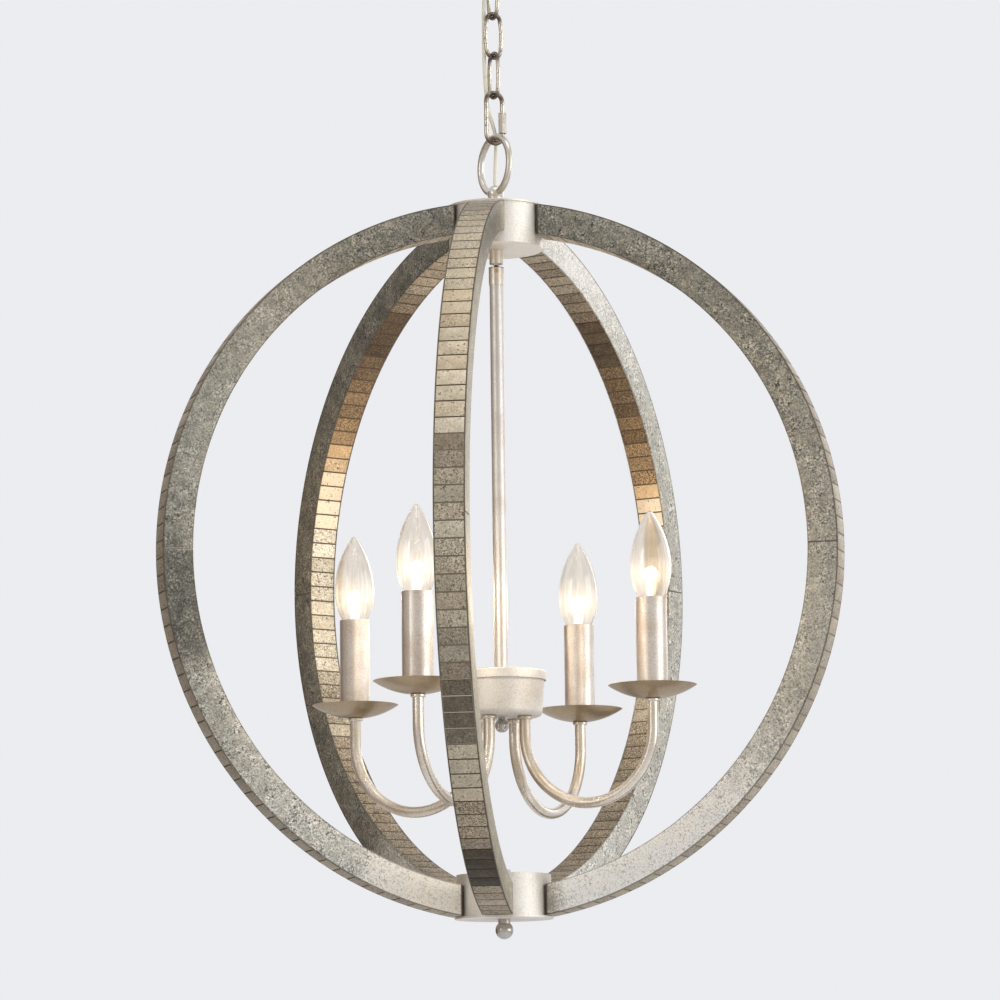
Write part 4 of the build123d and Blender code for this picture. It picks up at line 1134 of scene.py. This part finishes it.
# Dark cards, as name: (place from the orb's centre, width, height, paint)
FLAGS = {
    "left_flag": ((-2.0, 1.2, 0), 2.0, 2.6, (0.16, 0.105, 0.065)),
    "side_flag": ((-2.7, -0.7, 0), 1.0, 2.6, (0.22, 0.16, 0.11)),
}


def stage():
    bpy.ops.mesh.primitive_plane_add(size=FLOOR_SIZE, location=(0, 0, FLOOR_LEVEL))
    floor = started("floor")
    finish = Finish("floor_paint")
    tint = finish.noise(0.8, 2.0)
    paint = finish.mix(tint, (0.80, 0.80, 0.81), (0.83, 0.83, 0.84))
    floor.data.materials.append(finish.surface(base_color=paint, roughness=0.85))


def sky():
    """A pale surround, brightest behind and to the right of the object, warmer and darker on its left."""
    world = bpy.data.worlds.new("surround")
    bpy.context.scene.world = world
    world.use_nodes = True
    nodes = world.node_tree.nodes
    links = world.node_tree.links
    place = nodes.new("ShaderNodeTexCoord")
    turn = nodes.new("ShaderNodeVectorMath")
    turn.operation = "DOT_PRODUCT"
    turn.inputs[1].default_value = SURROUND_LEAN
    shift = nodes.new("ShaderNodeMath")
    shift.inputs[1].default_value = 0.5
    ramp = nodes.new("ShaderNodeValToRGB")
    ramp.color_ramp.elements.new(SURROUND_MIDDLE)
    for element, colour in zip(ramp.color_ramp.elements, SURROUND_TINTS):
        element.color = (*colour, 1.0)
    ramp.color_ramp.elements[2].position = SURROUND_PALEST
    links.new(place.outputs["Generated"], turn.inputs[0])
    links.new(turn.outputs["Value"], shift.inputs[0])
    links.new(shift.outputs["Value"], ramp.inputs["Fac"])
    links.new(ramp.outputs["Color"], nodes["Background"].inputs["Color"])


def softbox(name, place, target, width, height, energy, colour):
    bpy.ops.object.light_add(type="AREA", location=place)
    lamp = bpy.context.object
    lamp.name = name
    lamp.data.shape = "RECTANGLE"
    lamp.data.size = width
    lamp.data.size_y = height
    lamp.data.energy = energy
    lamp.data.color = colour
    lamp.rotation_euler = (target - place).to_track_quat("-Z", "Y").to_euler()


def flag(name, place, target, width, height, paint):
    """A dark card beside the object, out of the camera's sight, which draws the edges of bright metal."""
    bpy.ops.mesh.primitive_plane_add(size=1.0)
    card = started(name)
    card.scale = (width, height, 1.0)
    settle(card)
    card.location = place
    card.rotation_euler = (target - place).to_track_quat("Z", "Y").to_euler()
    finish = Finish(f"{name}_paint")
    nap = finish.noise(0.1)
    base = finish.mix(nap, paint, tuple(1.15 * part for part in paint))
    card.data.materials.append(finish.surface(base_color=base, roughness=0.9))
    card.visible_camera = False
    card.visible_shadow = False


def lights():
    centre = Vector((0, 0, orb_centre))
    for name, (place, *settings) in SOFTBOXES.items():
        softbox(name, centre + Vector(place), centre, *settings)
    for name, (place, *settings) in FLAGS.items():
        flag(name, centre + Vector(place), centre, *settings)


def camera():
    bpy.ops.object.camera_add()
    view = bpy.context.object
    view.name = "photo_camera"
    forward = Vector((
        math.sin(CAMERA_YAW) * math.cos(CAMERA_PITCH),
        math.cos(CAMERA_YAW) * math.cos(CAMERA_PITCH),
        math.sin(CAMERA_PITCH),
    ))
    right = Vector((math.cos(CAMERA_YAW), -math.sin(CAMERA_YAW), 0))
    up = right.cross(forward)
    rolled_right = right * math.cos(CAMERA_ROLL) + up * math.sin(CAMERA_ROLL)
    rolled_up = up * math.cos(CAMERA_ROLL) - right * math.sin(CAMERA_ROLL)
    turn = Matrix((rolled_right, rolled_up, -forward)).transposed()
    view.matrix_world = Matrix.Translation((0, -CAMERA_BACK, orb_centre - CAMERA_BELOW_ORB)) @ turn.to_4x4()
    view.data.sensor_width = CAMERA_SENSOR
    view.data.lens = CAMERA_LENS
    view.data.clip_end = CAMERA_REACH
    bpy.context.scene.camera = view


bpy.context.scene.view_settings.view_transform = "Standard"
paint_frame()
arches()
bulbs()
supply_cord()
stage()
sky()
lights()
camera()
